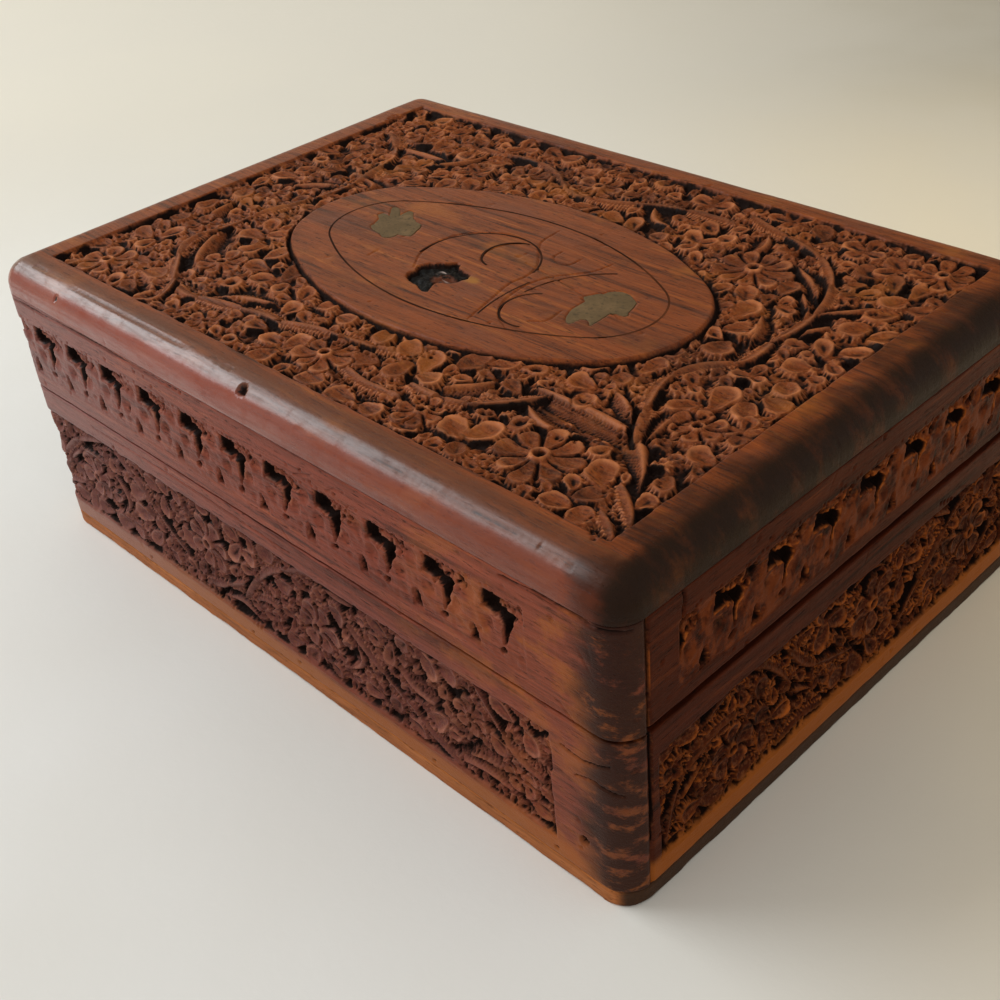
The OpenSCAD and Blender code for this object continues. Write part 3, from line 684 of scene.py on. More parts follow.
# %% Folding the map over the rounded edge
def over_edge(U, V):
    """Point on the top board and the direction out of the wood, for each point of the map."""
    a, b = np.maximum(np.abs(U) - EDGE_U, 0), np.maximum(np.abs(V) - EDGE_V, 0)
    down = np.maximum(a, b)
    safe = np.maximum(down, 1e-9)
    low = np.minimum(a, b) / safe
    round_by = np.where(a >= b, math.pi / 4 * low, math.pi / 2 - math.pi / 4 * low)
    angle = np.minimum(down / CORNER, math.pi / 2)
    out_by = CORNER * np.sin(angle)
    z = BOX_TOP - CORNER * (1 - np.cos(angle)) - np.maximum(down - TOP_ARC, 0)
    cx, cy = np.cos(round_by), np.sin(round_by)
    point = np.stack([np.sign(U) * (np.minimum(np.abs(U), EDGE_U) + out_by * cx),
                      np.sign(V) * (np.minimum(np.abs(V), EDGE_V) + out_by * cy), z], -1)
    normal = np.stack([np.sign(U) * cx * np.sin(angle), np.sign(V) * cy * np.sin(angle),
                       np.cos(angle)], -1)
    return point, normal

# %% Readings of the carving
def signs_of_carving(face, h, cell):
    """Three readings for the finish: how deep a place lies, how shut in or steep it is, and
    how much it is a carved place that stands out, where hands have rubbed it. The first two
    also set where the finish paints shade into deep ground, steep walls and narrow gaps. The
    third also holds painted highlights: crests, and the tops of gouge marks that are lit.
    Motifs that are dull count as shut in."""
    near, wide = blur(h, 0.55 / cell), blur(h, 2.2 / cell)
    narrow = ease(0.06, 0.34, blur(h, 0.9 / cell) - blur(h, 0.5))
    fall_v, fall_u = np.gradient(blur(h, 0.5), cell)
    steep = ease(1.2, 2.8, np.hypot(fall_u, fall_v))
    deep = np.clip(-near / 2.6, 0, 1)
    hollow = np.maximum.reduce([np.clip((wide - near) / 1.2, 0, 1), 0.85 * narrow,
                                steep * (0.45 + 0.55 * ease(0.2, 0.6, deep))])
    carved = ease(0.18, 0.27, -blur(h, 0.5))
    stands = np.clip((blur(h, 0.8) - blur(h, 3.5 / cell)) / 1.0, 0, 1) * ease(0.05, 0.35, -h)
    crest = ease(0.14, 0.42, blur(h, 0.4) - blur(h, 1.0 / cell))
    worn_and_highlit = carved * np.maximum(0.85 * stands, 0.6 * crest) * (1 - 0.8 * face.dull) * face.field
    hollow = np.maximum(hollow * (1 - 0.7 * face.lit), 0.9 * face.dull ** 2)
    return deep, hollow, np.maximum(worn_and_highlit, 0.7 * face.lit)

# %% From points to a mesh
def mesh_piece(name, points, faces, flat=None, weld=None, readings=None):
    """A mesh object from a net of points in mm. Faces name points of the net, flat is each
    point's place on the unrolled map, and weld says which points are one and the same."""
    points = np.asarray(points, float)
    same = np.arange(len(points)) if weld is None else np.asarray(weld)
    kept_v, kept_n = [], []
    quads = np.array([f for f in faces if len(f) == 4], int).reshape(-1, 4)
    v = same[quads]
    split = (v != np.roll(v, 1, axis=1)).all(1) & (v[:, 0] != v[:, 2]) & (v[:, 1] != v[:, 3])
    kept_v += v[split].tolist()
    kept_n += quads[split].tolist()
    for face in quads[~split].tolist() + [list(f) for f in faces if len(f) != 4]:
        seen, slim = set(), []
        for n in face:
            if same[n] not in seen:
                seen.add(same[n])
                slim.append(n)
        if len(slim) > 2:
            kept_v.append(same[slim].tolist())
            kept_n.append(slim)
    used = np.unique([n for face in kept_v for n in face])
    number = np.full(len(points), -1)
    number[used] = np.arange(len(used))
    mesh = bpy.data.meshes.new(name)
    mesh.from_pydata((points[used] * MM).tolist(), [], [number[f].tolist() for f in kept_v])
    mesh.update()
    if flat is not None:
        layer = mesh.uv_layers.new(name="OFBake")
        corners = [n for face in kept_n for n in face]
        layer.uv.foreach_set("vector", np.asarray(flat, np.float32)[corners].ravel())
    for key, values in (readings or {}).items():
        mesh.attributes.new(key, "FLOAT", "POINT").data.foreach_set(
            "value", np.asarray(values, np.float32).ravel()[used])
    mesh.shade_smooth()
    piece = bpy.data.objects.new(name, mesh)
    bpy.context.collection.objects.link(piece)
    return piece


def grid_faces(rows, cols):
    """Quads of a grid whose points are numbered row by row."""
    n = np.arange(rows * cols).reshape(rows, cols)
    return np.stack([n[:-1, :-1], n[:-1, 1:], n[1:, 1:], n[1:, :-1]], -1).reshape(-1, 4).tolist()


def ring_faces(ids, inward=False):
    """Quads between rings of points that close on themselves. ids holds one ring per row, and
    inward says that each ring lies outside the one before."""
    n = np.concatenate([ids, ids[:, :1]], 1)
    corners = [n[:-1, :-1], n[:-1, 1:], n[1:, 1:], n[1:, :-1]]
    if inward:
        corners[1], corners[3] = corners[3], corners[1]
    return np.stack(corners, -1).reshape(-1, 4).tolist()

# %% [markdown]
# ## Beds for the inlay
# Each brass leaf lies in a bed cut to its outline. The outline is given from its middle: for a
# few directions in degrees, the distance in millimetres to the edge. The same outline cuts the
# bed here and draws the leaf later on, so that they fit. The third bed has lost its leaf, and
# its wood has broken away round the edge.

# %% Leaf outlines
LEAF_LEFT = ((-42.3, 1.8), [(6, 9.1), (20, 8.9), (33, 8.4), (50, 6.6), (75, 6.4), (90, 7.4),
                            (103, 9.8), (112, 10.2), (118, 8.4), (125, 6.6), (132, 11.9),
                            (138, 13.2), (143, 12.9), (147, 9.6), (153, 6.9), (160, 10.2),
                            (170, 10.2), (180, 7.4), (194, 6.8), (213, 6.7), (221, 7.5),
                            (243, 7.2), (262, 7.0), (278, 7.2), (294, 9.1), (307, 9.4),
                            (317, 8.6), (326, 7.4), (331, 8.2), (339, 9.5), (344, 10.8),
                            (355, 9.9)])
LEAF_RIGHT = ((43.8, 0.1), [(9, 8.1), (27, 8.3), (46, 9.1), (63, 8.7), (81, 9.1), (94, 9.0),
                            (106, 8.4), (119, 7.9), (130, 6.5), (143, 6.9), (157, 6.8),
                            (177, 7.5), (191, 5.4), (205, 5.8), (221, 6.9), (231, 8.3),
                            (243, 9.7), (262, 12.8), (269, 13.0), (273, 9.2), (282, 8.8),
                            (289, 9.6), (295, 11.8), (301, 9.3), (310, 7.3), (325, 5.6),
                            (335, 5.1), (345, 6.0), (350, 8.6), (358, 9.1)])
LEAF_LOST = ((-7.1, -14.3), [(3, 8.8), (12, 8.6), (17, 9.6), (22, 10.5), (34, 10.2), (49, 8.2),
                             (71, 7.2), (80, 8.8), (90, 8.9), (97, 8.0), (111, 7.1), (133, 6.6),
                             (145, 7.3), (173, 7.5), (194, 6.1), (205, 7.4), (222, 7.6),
                             (241, 7.2), (256, 6.8), (280, 7.3), (290, 8.6), (299, 10.1),
                             (306, 10.4), (309, 8.0), (314, 5.7), (325, 4.9), (340, 5.8),
                             (354, 7.8)])


def outline_reach(angle, marks):
    """Distance from the middle to the outline for directions in radians."""
    degrees, reach = zip(*marks)
    return np.interp(np.degrees(angle), degrees, reach, period=360)


def from_leaf(U, V, place):
    """Roughly the distance outside a leaf's outline, negative inside."""
    (x0, y0), marks = place
    dx, dy = U - x0, V - y0
    return np.hypot(dx, dy) - outline_reach(np.arctan2(dy, dx), marks)


# %% Cutting the beds
for place in (LEAF_LEFT, LEAF_RIGHT):
    out = from_leaf(top.U, top.V, place)
    top.h = np.where(out < 0.25, np.minimum(top.h, -0.35 + 1.2 * np.maximum(out, 0)), top.h)
out = from_leaf(top.U, top.V, LEAF_LOST) + 0.30 * patchy(top.U, top.V, 1.4, 33)
broken = -1.75 + 0.35 * patchy(top.U, top.V, 1.2, 34) + 8.0 * np.maximum(out, 0)
top.dull = np.maximum(top.dull, ease(0.5, 0.1, out))
top.h = np.minimum(top.h, np.maximum(broken, -1.9))
print("lost leaf bed, lowest point", round(float(top.h[out < 0].min()), 2), "mm")
SCORED = [  # the compass lines and scrolls scratched for the wire, much of which is lost
    [(-13.2, 14.6), (-20, 8.7), (-22, 0.8), (-20.6, -7), (-15.2, -14.8)],
    [(-13.2, 14.6), (-8, 17.0), (-2, 17.3)],
    [(2.5, 27.3), (3, 20.5), (4.4, 17.2), (9.3, 11.6), (13.3, 6.7), (15.2, 0.8), (14.7, -6),
     (17.2, -15.8), (20.1, -27)],
    [(-0.5, 15), (-3.9, 11.6), (-5.4, 5.7), (-3.4, 0.8), (-1.5, -0.6)],
    [(20.6, 17), (20.1, 12.6), (17.2, 11.4), (13.3, 13.6), (12.8, 17.5)],
    [(29.9, 19.5), (28.5, 13.6), (25, 8.7), (21.1, 3.8), (19.1, -3), (19.6, -10), (21.6, -15.8),
     (26, -21.2), (31.9, -24.6)],
    [(22.0, -9.0), (21.2, -13.8), (23.0, -18.0)], [(33.8, -18.3), (37.6, -15.0), (37.2, -9.0)],
    [(-39.7, 22.4), (-32.8, 25.4)], [(-52.0, 4.8), (-47.0, 6.0)],
    [(9.3, 6.2), (24, 3.8), (36.5, 0.8)], [(-32.8, -12.9), (-32.2, -17.5)],
    [(36.8, -0.6), (42, -2.4), (47, -1.6), (53.0, -3.2)],
]
for points in SCORED:
    crack(top, points, wide=0.22, depth=0.40)

# %% The worn rounding of the top board
rim = np.maximum(np.abs(top.U) - EDGE_U, np.abs(top.V) - EDGE_V)
top.h += 0.07 * ease(-4, 6, rim) * patchy(top.U, top.V, 14.0, 41) - 0.10 * ease(-4, 6, rim)
top.h = blur(top.h, 0.5)
weather(top, seed=21, scratches=40, dents=60)
hole(top, -1.7, -(EDGE_V + 5.2), 1.25, 1.6)      # the pit of a sunk nail
hole(top, -0.4, -(EDGE_V + 5.7), 0.8, 1.1)
hole(top, -93.0, -(EDGE_V + 8.0), 0.7, 0.8)
crack(top, [(-112, -82.5), (-60, -83.4), (-10, -82.6)], wide=0.2, depth=0.35)
crack(top, [(40, -86.0), (70, -85.2), (112, -86.1)], wide=0.25, depth=0.4)
top.h = np.clip(top.h, LOWEST, 0.06)

# %% The top board
SEAM = 0.3                          # rounding of the edges along a seam


def fold_top(face):
    """The top board from its map, closed below by a narrow step and a flat underside."""
    point, normal = over_edge(face.U, face.V)
    h = np.where(face.h > 0, 0, face.h)
    h *= ease(REACH_V, REACH_V - 0.5, np.abs(face.V)) * ease(REACH_U, REACH_U - 0.5, np.abs(face.U))
    points = (point + normal * h[..., None]).reshape(-1, 3)
    rows, cols = face.h.shape
    n = np.arange(rows * cols).reshape(rows, cols)
    ring = np.concatenate([n[0, :-1], n[:-1, -1], n[-1, :0:-1], n[:0:-1, 0]])
    under = len(points) + np.arange(len(ring))
    below = points[ring] - normal.reshape(-1, 3)[ring] * SEAM
    below[:, 2] = LID_TOP
    points = np.vstack([points, below, below])
    faces = grid_faces(rows, cols) + [(under + len(ring))[::-1].tolist()]
    faces += np.stack([ring, under, np.roll(under, -1), np.roll(ring, -1)], -1).tolist()
    weld = np.arange(len(points))
    weld[-len(ring):] = under
    span = np.array([2 * REACH_U, 2 * REACH_V])
    flat = (np.stack([face.U, face.V], -1).reshape(-1, 2) + span / 2) / span
    edge_out = (flat[ring] - 0.5) * (1 + 0.006 / np.abs(flat[ring] - 0.5).max(1))[:, None] + 0.5
    flat = np.vstack([flat * (0.96, 0.66) + (0.02, 0.02), edge_out * (0.96, 0.66) + (0.02, 0.02),
                      flat[ring] * (0.4, 0.27) + (0.02, 0.71)])
    deep, hollow, worn_and_highlit = signs_of_carving(face, h, FINE)
    pad = np.zeros(2 * len(ring))
    readings = {"deep": np.concatenate([deep.ravel(), pad]),
                "hollow": np.concatenate([hollow.ravel(), pad]),
                "worn_and_highlit": np.concatenate([worn_and_highlit.ravel(), pad])}
    return mesh_piece("carved_top_board", points, faces, flat, weld, readings)


top_board = fold_top(top)
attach(top_board, "lid")
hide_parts("lid_top_board")
print("top board", len(top_board.data.vertices), "points")

# %% [markdown]
# ## The bands on the side boards
# Each side board is a face of its own. The lid's boards carry a row of three-lobed leaves that
# grow out of the plain strip below them, with a crooked dark gap between each pair. The lower
# boards carry a running scroll with flowers in its bends. Front and right bands follow the
# photograph; the back and the left end, which it doesn't show, repeat them the other way round.

# %% The lid's band of leaves
LID_BAND = (60.0, 79.2)             # lower and upper edge of the lid's band
LID_LOBES = [   # dishes of one leaf, from its foot: x, y, radius, height to width, depth
    (4.9, 9.2, 2.9, 1.15, 0.75), (-5.2, 9.0, 2.9, 1.15, 0.75), (-0.4, 15.2, 3.3, 1.1, 0.7),
    (16.0, 4.6, 1.6, 1.0, 0.25)]


def taper(U, V, foot, tip, r_foot, r_tip):
    """Distance outside a tapered bar with round ends."""
    (x0, y0), (x1, y1) = foot, tip
    long = (x1 - x0) ** 2 + (y1 - y0) ** 2
    t = np.clip(((U - x0) * (x1 - x0) + (V - y0) * (y1 - y0)) / long, 0, 1)
    return np.hypot(U - x0 - t * (x1 - x0), V - y0 - t * (y1 - y0)) - (r_foot + t * (r_tip - r_foot))


def lid_band(face, units, start, end, seed):
    """A running band of three-lobed leaves. Most of it stays at the planed height: the leaves
    are drawn by crooked dark gaps, stippled shelves, dished lobes and a pit at each foot."""
    low, high = LID_BAND
    dice = np.random.default_rng(seed)
    ends = np.minimum(face.U - start, end - face.U)
    for unit in [units[0] - 20.0] + list(units):
        jig = dice.uniform(-0.45, 0.45, 12)
        win = face.near(unit - 10, unit + 24, low - 1, high + 2)
        U, V = face.U[win], face.V[win]
        wavy_u = U + 0.45 * patchy(U, V, 2.2, seed + 1)
        wavy_v = V + 0.35 * patchy(U, V, 1.8, seed + 2)
        under_line = high - V
        # the stippled shelf
        shelf = np.minimum.reduce([wavy_u - unit - 7.5, unit + 18.0 + jig[0] - wavy_u,
                                   wavy_v - low - 13.4 - 0.30 * (U - unit - 12), under_line,
                                   ends[win]])
        floor_at = -1.5 + 0.9 * ease(unit + 8, unit + 18, U) + 0.25 * patchy(U, V, 1.3, seed + 3)
        cut = np.maximum(floor_at, -2.6 * shelf)
        face.h[win] = np.where(shelf > 0, np.minimum(face.h[win], cut), face.h[win])
        for _ in range(34):
            x, y = unit + dice.uniform(7.5, 18.5), low + dice.uniform(13.0, 19.4)
            if start + 0.5 < x < end - 0.5 and y > low + 13.0 + 0.30 * (x - unit - 12):
                hole(face, x, min(y, high - 0.3), dice.uniform(0.28, 0.5), dice.uniform(0.6, 1.1),
                     relative=True)
        # the crooked gap, its slit and the round hole at the end
        block = np.maximum(np.abs(wavy_u - unit - 6.0 - jig[1]) - 2.3 + 0.15 * (V - low - 16),
                           np.abs(V - low - 16.6) - 3.4)
        gap = np.minimum.reduce([
            block,
            taper(wavy_u, wavy_v, (unit + 7.0, low + 14.6),
                  (unit + 12.0, low + 13.2 + jig[2]), 1.5, 1.5),
            taper(wavy_u, wavy_v, (unit + 12.0, low + 13.3),
                  (unit + 10.2 + jig[3], low + 5.8), 2.0, 0.35),
            taper(wavy_u, wavy_v, (unit + 9.5, low + 3.4), (unit + 10.1, low + 3.9), 1.0, 0.8)])
        gap = np.maximum.reduce([gap, -under_line, -ends[win]])
        face.h[win] = np.where(gap < 0, np.minimum(face.h[win], np.maximum(-3.1, 3.6 * gap)),
                               face.h[win])
        # dished lobes
        for x, y, r, tall, depth in LID_LOBES:
            x, y = unit + x + dice.uniform(-0.4, 0.4), low + y + dice.uniform(-0.4, 0.4)
            dist = np.hypot(U - x, (V - y) / tall) / r + 0.10 * patchy(U, V, 1.4, seed + 6)
            inside = (ends[win] > 0.5) & (under_line > 0.2)
            face.h[win] -= np.where(inside, depth * ease(1.0, 0.15, dist) * (gap > 0), 0)
        # the pit at the foot
        rise = V - (low + 0.8)
        half = 1.9 * np.sqrt(np.clip(1 - rise / 5.8, 0, 1))
        edge = np.maximum(np.abs(wavy_u - unit - jig[4]) - half, -rise)
        pit = np.maximum(-2.3 + 0.34 * rise, 3.4 * edge)
        face.h[win] = np.where((edge < 0) & (ends[win] > 0.5), np.minimum(face.h[win], pit),
                               face.h[win])
    rough = (face.V > low) & (face.V < high) & (ends > 0)
    face.h -= np.where(rough, 0.10 + 0.10 * patchy(face.U, face.V, 1.7, seed + 8)
                       + 0.06 * patchy(face.U, face.V, 0.8, seed + 9), 0)
    for x in np.arange(start + 1, end - 1, 2.3):
        hole(face, x + dice.uniform(-1, 1), high + dice.uniform(-0.4, 1.4),
             dice.uniform(0.2, 0.4), 0.4, relative=True)

# %% The lower band's scroll
BODY_BAND = (11.0, 46.0)
FRONT_SCROLL = {
    "leaves": [([(65, 14), (80, 17.5), (92, 15.5)], 4.6, -1),
               ([(74, 19), (80, 21.5), (88, 21)], 3.6, -1),
               ([(-86, 44), (-78, 42), (-68, 43)], 4.2, 1),
               ([(21, 44), (27, 42.5), (34, 44)], 3.8, 1),
               ([(50, 34), (56, 30.5), (64, 28)], 5.4, -1),
               ([(-30, 14), (-22, 15), (-13, 13)], 4.2, 1),
               ([(-86, 34), (-82, 27), (-84, 20)], 4.0, 1),
               ([(28, 20), (33, 26), (32, 33)], 4.0, -1)],
    "stems": [([(-126, 14), (-123, 20), (-118, 26), (-110, 33), (-100, 36.5), (-91, 36)], 3.2, 1),
              ([(-119, 29), (-108, 38), (-98, 43), (-88, 46)], 3.0, 1),
              ([(-125, 13), (-120, 18), (-111, 20.5)], 2.4, -1),
              ([(-82, 46), (-70, 37), (-64, 31), (-57, 25), (-49, 20)], 3.2, -1),
              ([(-42, 14), (-30, 18.5), (-18, 25)], 2.8, -1),
              ([(-20, 19), (-12, 29), (-4, 37), (8, 43), (17, 46)], 3.4, 1),
              ([(-15, 21.5), (-9, 24), (-3, 24)], 2.2, -1),
              ([(30, 36), (40, 29), (47, 24), (55, 20), (62, 16), (71, 12)], 3.2, -1),
              ([(78, 46), (84, 38), (92, 30), (101, 27)], 3.0, 1)],
    "flowers": [(-99, 27.5, 9, 6), (-36, 31, 10.5, 7), (15, 27, 9.5, 6), (76, 32, 6.5, 6),
                (92, 22, 6, 5)],
    "buds": [(-124, 39), (-121.5, 33), (-112, 25.5), (-107, 14.5), (-114, 14.5), (-100, 15),
             (-92, 15), (-55.5, 42.5), (-62, 41), (-57.5, 34.5), (-70.5, 42), (-73, 25),
             (-68, 18), (-80, 15.5), (-59, 15), (-49, 42.5), (-21, 42), (-14.5, 36.5), (-21, 35),
             (-4, 43.5), (1.5, 34.5), (25.5, 36.5), (43, 42.5), (52, 41.5), (46.5, 35),
             (37, 16.5), (46, 17), (54, 14.5), (62, 40.5), (69, 42.5), (88, 42), (97, 37),
             (99, 16), (2, 15), (10, 14), (20, 14.5), (-46, 28), (63, 22), (-88, 14.5), (-73, 33)],
}
RIGHT_SCROLL = {
    "leaves": [([(-27, 27), (-23, 24), (-18, 22)], 4.0, 1),
               ([(36, 46), (42, 44), (48, 40)], 4.6, -1),
               ([(-72, 22), (-66, 25), (-60, 31)], 4.2, 1),
               ([(-2, 43), (6, 44.5), (14, 42)], 4.0, 1),
               ([(24, 20), (30, 24), (36, 30)], 4.4, -1)],
    "stems": [([(-75, 14), (-70, 29), (-60, 36), (-49, 36.5)], 3.2, 1),
              ([(-62, 41), (-50, 46), (-40, 45), (-33, 39), (-28, 32)], 3.0, 1),
              ([(-28, 41), (-20, 32), (-12, 27), (0, 23)], 3.2, -1),
              ([(22, 15), (35, 29), (45, 38), (56, 45)], 3.4, 1),
              ([(-32, 13), (-22, 15), (-12, 13)], 2.6, -1),
              ([(60, 14), (68, 20), (74, 30)], 3.0, 1)],
    "flowers": [(-50, 25, 8.5, 5), (9, 32.5, 10, 6), (58, 27, 9.5, 6)],
    "buds": [(-74.5, 43), (-67.5, 43), (-65.5, 17), (-58, 15.5), (-39, 37), (-38.5, 28),
             (-38, 19), (-45, 15), (-14.5, 43), (-7.5, 38), (-14, 36), (-6, 17), (2, 16),
             (10, 17), (16, 20), (25, 43.5), (28.5, 36), (22, 29), (44, 19), (50, 16), (66, 41),
             (72.5, 41), (47, 29), (38, 20), (-30, 23), (60, 42), (73, 15)],
}

# %% Carving the lower band
def turned(scroll):
    """The same scroll the other way round, for a face that the photograph doesn't show."""
    def flip(points):
        return [(-x, y) for x, y in points]
    return {"leaves": [(flip(p), w, -s) for p, w, s in scroll["leaves"]],
            "stems": [(flip(p), w, -s) for p, w, s in scroll["stems"]],
            "flowers": [(-x, y, r, n) for x, y, r, n in scroll["flowers"]],
            "buds": flip(scroll["buds"])}


def body_band(face, scroll, start, end, seed):
    """Carves a scroll between start and end, and tells how many gaps were filled."""
    low, high = BODY_BAND
    inside = np.minimum.reduce([face.U - start, end - face.U, face.V - low, high - face.V])
    inside = inside + 0.5 * patchy(face.U, face.V, 7.0, seed + 9)
    sink_ground(face, inside, seed)
    face.field = inside > 0.3
    for points, wide, edge in scroll["leaves"]:
        leaf(face, points, wide, edge)
    for points, wide, edge in scroll["stems"]:
        stem(face, points, wide, sharp=edge)
    buds(face, scroll["buds"], 3.6, seed)
    for x, y, r, petals in scroll["flowers"]:
        flower(face, x, y, r, petals, seed)
    filled = fill_gaps(face, inside, seed, sizes=(2.0, 3.2), tries=3500)
    raise_ground(face, seed)
    stipple(face, inside, seed)
    for points, wide, edge in scroll["stems"] + scroll["leaves"]:
        punches(face, points, offset=-edge * (wide / 2 + 0.8), seed=seed)
    return filled

# %% [markdown]
# ## Boards from faces
# A side board is drawn as a closed section, repeated along its length: inner edge, rim, carved
# outside, rim, inner edge. The long boards run on round the upright corners, where the section
# turns about the corner's centre. The rims are rounded a little and unevenly, because a sharp
# straight edge is the first thing that gives a drawn box away.

# %% A side board
RIM_STEPS = 3


def board(name, face, low, high, long_side, facing, cell, limit=None):
    """A side board from its carved face. facing is 1 for front and right, -1 for back and left.
    limit, if given, is how far out a point may lie at each height."""
    rows, cols = face.h.shape
    level = 0 * face.u
    soft = SEAM + 0.18 + 0.16 * patchy(face.u, level, 6.0, 61) + 0.1 * patchy(face.u, level, 1.7, 62)
    soft = np.clip(soft, 0.18, 0.8)
    run = (face.v - face.v[0]) / (face.v[-1] - face.v[0])
    outer_z = low + soft + run[:, None] * (high - low - 2 * soft)
    turn = np.linspace(0, math.pi / 2, RIM_STEPS + 1)[:, None]
    fade = np.sin(turn)
    low_t = soft * (1 - np.sin(turn)) - fade * face.h[0]
    low_z = low + soft * (1 - np.cos(turn))
    high_t = (soft * (1 - np.sin(turn)) - fade * face.h[-1])[::-1]
    high_z = (high - soft * (1 - np.cos(turn)))[::-1]
    deepest = np.full((1, cols), WALL)
    t = np.vstack([deepest, low_t[:-1], -face.h, high_t[1:], deepest])
    z = np.vstack([np.full((1, cols), low), low_z[:-1], outer_z, high_z[1:],
                   np.full((1, cols), high)])
    s = np.broadcast_to(face.u, t.shape)
    if long_side:
        angle = np.maximum(np.abs(s) - EDGE_U, 0) / CORNER
        x = np.sign(s) * (np.minimum(np.abs(s), EDGE_U) + (CORNER - t) * np.sin(angle))
        y = -(EDGE_V + (CORNER - t) * np.cos(angle))
    else:
        x, y = HALF_W - t, s
    if limit is not None:
        y = np.maximum(y, -limit(z))
    points = np.stack([facing * x, facing * y, z], -1)
    points = np.concatenate([points, points[:1]])              # the inner face closes the loop
    count = points.shape[0]
    ids = np.arange(count * cols).reshape(count, cols)
    weld = ids.copy()
    weld[-1] = ids[0]
    if long_side:                                              # the inside corners
        for row in (0, count - 2, count - 1):
            first, last = np.searchsorted(face.u, [-EDGE_U - 1e-6, EDGE_U + 1e-6])
            weld[row, :first] = weld[row, first]
            weld[row, last:] = weld[row, last - 1]
    middle = cols // 2
    steps = np.hypot(np.diff(t[:, middle]), np.diff(z[:, middle]))
    around = np.concatenate([[0], np.cumsum(steps)])
    around = np.append(around, around[-1] + (high - low))
    flat = np.stack(np.broadcast_arrays((face.u - face.u[0]) / (face.u[-1] - face.u[0]) * 0.9 + 0.01,
                                        around[:, None] / around[-1] * 0.97 + 0.01), -1)
    faces = grid_faces(count, cols)
    net, flat_net, weld = points.reshape(-1, 3), flat.reshape(-1, 2), weld.ravel()
    for col, shift in ((0, 0.945), (cols - 1, 0.97)):
        section = ids[:-1, col]
        ends = len(net) + np.arange(len(section))
        net = np.vstack([net, net[section]])
        depth = np.append(t[:, col], 0)[:len(section)] / WALL * 0.02
        rise = (z[:, col] - low) / (high - low) * 0.9 + 0.02
        flat_net = np.vstack([flat_net, np.stack([shift + depth, rise], -1)])
        weld = np.append(weld, weld[section])
        faces.append(ends.tolist() if col == 0 else ends.tolist()[::-1])
    deep, hollow, worn_and_highlit = signs_of_carving(face, face.h, cell)

    def spread(values):
        body = np.zeros((count, cols))
        body[1 + RIM_STEPS:1 + RIM_STEPS + rows] = values
        body[1:1 + RIM_STEPS] = values[0]
        body[1 + RIM_STEPS + rows:-2] = values[-1]
        return np.concatenate([body.ravel(), np.zeros(len(net) - body.size)])
    readings = {"deep": spread(deep), "hollow": spread(hollow), "worn_and_highlit": spread(worn_and_highlit)}
    return mesh_piece(name, net, faces, flat_net, weld, readings)

# %% The faces of the eight side boards
LONG_REACH = EDGE_U + CORNER * math.pi / 2
END_REACH = EDGE_V
SIDE_FINE, SIDE_PLAIN = 0.4, 0.6
END_LID_LOW = 56.2                  # the end boards of the lid have shrunk

SIDES = {}                          # name: low, high, facing, long side, grid step
for side, facing, cell in (("front", 1, SIDE_FINE), ("right", 1, SIDE_FINE),
                           ("back", -1, SIDE_PLAIN), ("left", -1, SIDE_PLAIN)):
    long_side = side in ("front", "back")
    SIDES["body_" + side] = (BASE_TOP, BODY_TOP, facing, long_side, cell)
    SIDES["lid_" + side] = (LID_LOW if long_side else END_LID_LOW, LID_TOP, facing, long_side, cell)

faces = {}
for name, (low, high, facing, long_side, cell) in SIDES.items():
    reach = LONG_REACH if long_side else END_REACH
    faces[name] = Face(lines(-reach, reach, cell), lines(low + 0.5, high - 0.5, cell))

# the middles of the leaves in the lid's bands
FRONT_UNITS = [-116, -97.5, -78, -57.6, -37, -17.3, 2.5, 22.6, 42.8, 62.8, 82]
RIGHT_UNITS = [-62, -43.5, -25, -6.3, 12.4, 31, 49.7, 67]
lid_band(faces["lid_front"], FRONT_UNITS, -124.5, 99, seed=101)
lid_band(faces["lid_right"], RIGHT_UNITS, -70.5, 76.5, seed=102)
lid_band(faces["lid_back"], [-x for x in FRONT_UNITS[::-1]], -99, 115, seed=103)
lid_band(faces["lid_left"], [-x for x in RIGHT_UNITS[::-1]], -76.5, 70.5, seed=104)
for name, scroll, start, end, seed in (
        ("body_front", FRONT_SCROLL, -126.5, 104, 111),
        ("body_right", RIGHT_SCROLL, -77.5, 77.5, 112),
        ("body_back", turned(FRONT_SCROLL), -104, 117, 113),
        ("body_left", turned(RIGHT_SCROLL), -77.5, 77.5, 114)):
    print(name, "gaps filled:", body_band(faces[name], scroll, start, end, seed))

# %% Cracks, nail marks and wear
lid_front, body_front = faces["lid_front"], faces["body_front"]
crack(lid_front, [(-126, 85.6), (-80, 86.2), (-28, 85.9)], 0.3, 1.0)
crack(lid_front, [(93, 85.8), (110, 86.3), (128, 85.7)], 0.35, 1.2)
crack(lid_front, [(20, 80.5), (25, 82.3), (28, 84.0)], 0.4, 0.35)
crack(lid_front, [(33, 81.2), (36, 83.0), (40, 83.9)], 0.4, 0.35)
for x, z in ((23, 83), (26.5, 81), (36, 81.5), (-44, 82), (-52, 84)):
    hole(lid_front, x, z, 0.5, 0.5, relative=True)
crack(body_front, [(108, 45), (114, 44), (122, 46.5)], 0.35, 0.9)
crack(body_front, [(112, 38), (118, 39.5), (125, 38)], 0.3, 0.8)
crack(body_front, [(-90, 50.5), (-40, 51.2), (10, 50.6)], 0.18, 0.35)
hole(body_front, 113.5, 17, 1.1, 1.6)
for x, z in ((-20, 6.2), (3, 7.5), (104, 7.2), (60, 6.8), (-75, 7.0)):
    hole(body_front, x, z, 0.7, 0.5, relative=True)
lid_right, body_right = faces["lid_right"], faces["body_right"]
crack(lid_right, [(-69.5, 79.5), (-68.8, 84), (-69.3, 87.5)], 0.35, 1.4)
crack(body_right, [(-81.2, 20), (-80.9, 36), (-80.6, 56)], 0.75, 3.2)
crack(lid_right, [(-81.2, 54), (-80.9, 70), (-81.0, 89)], 0.5, 2.0)
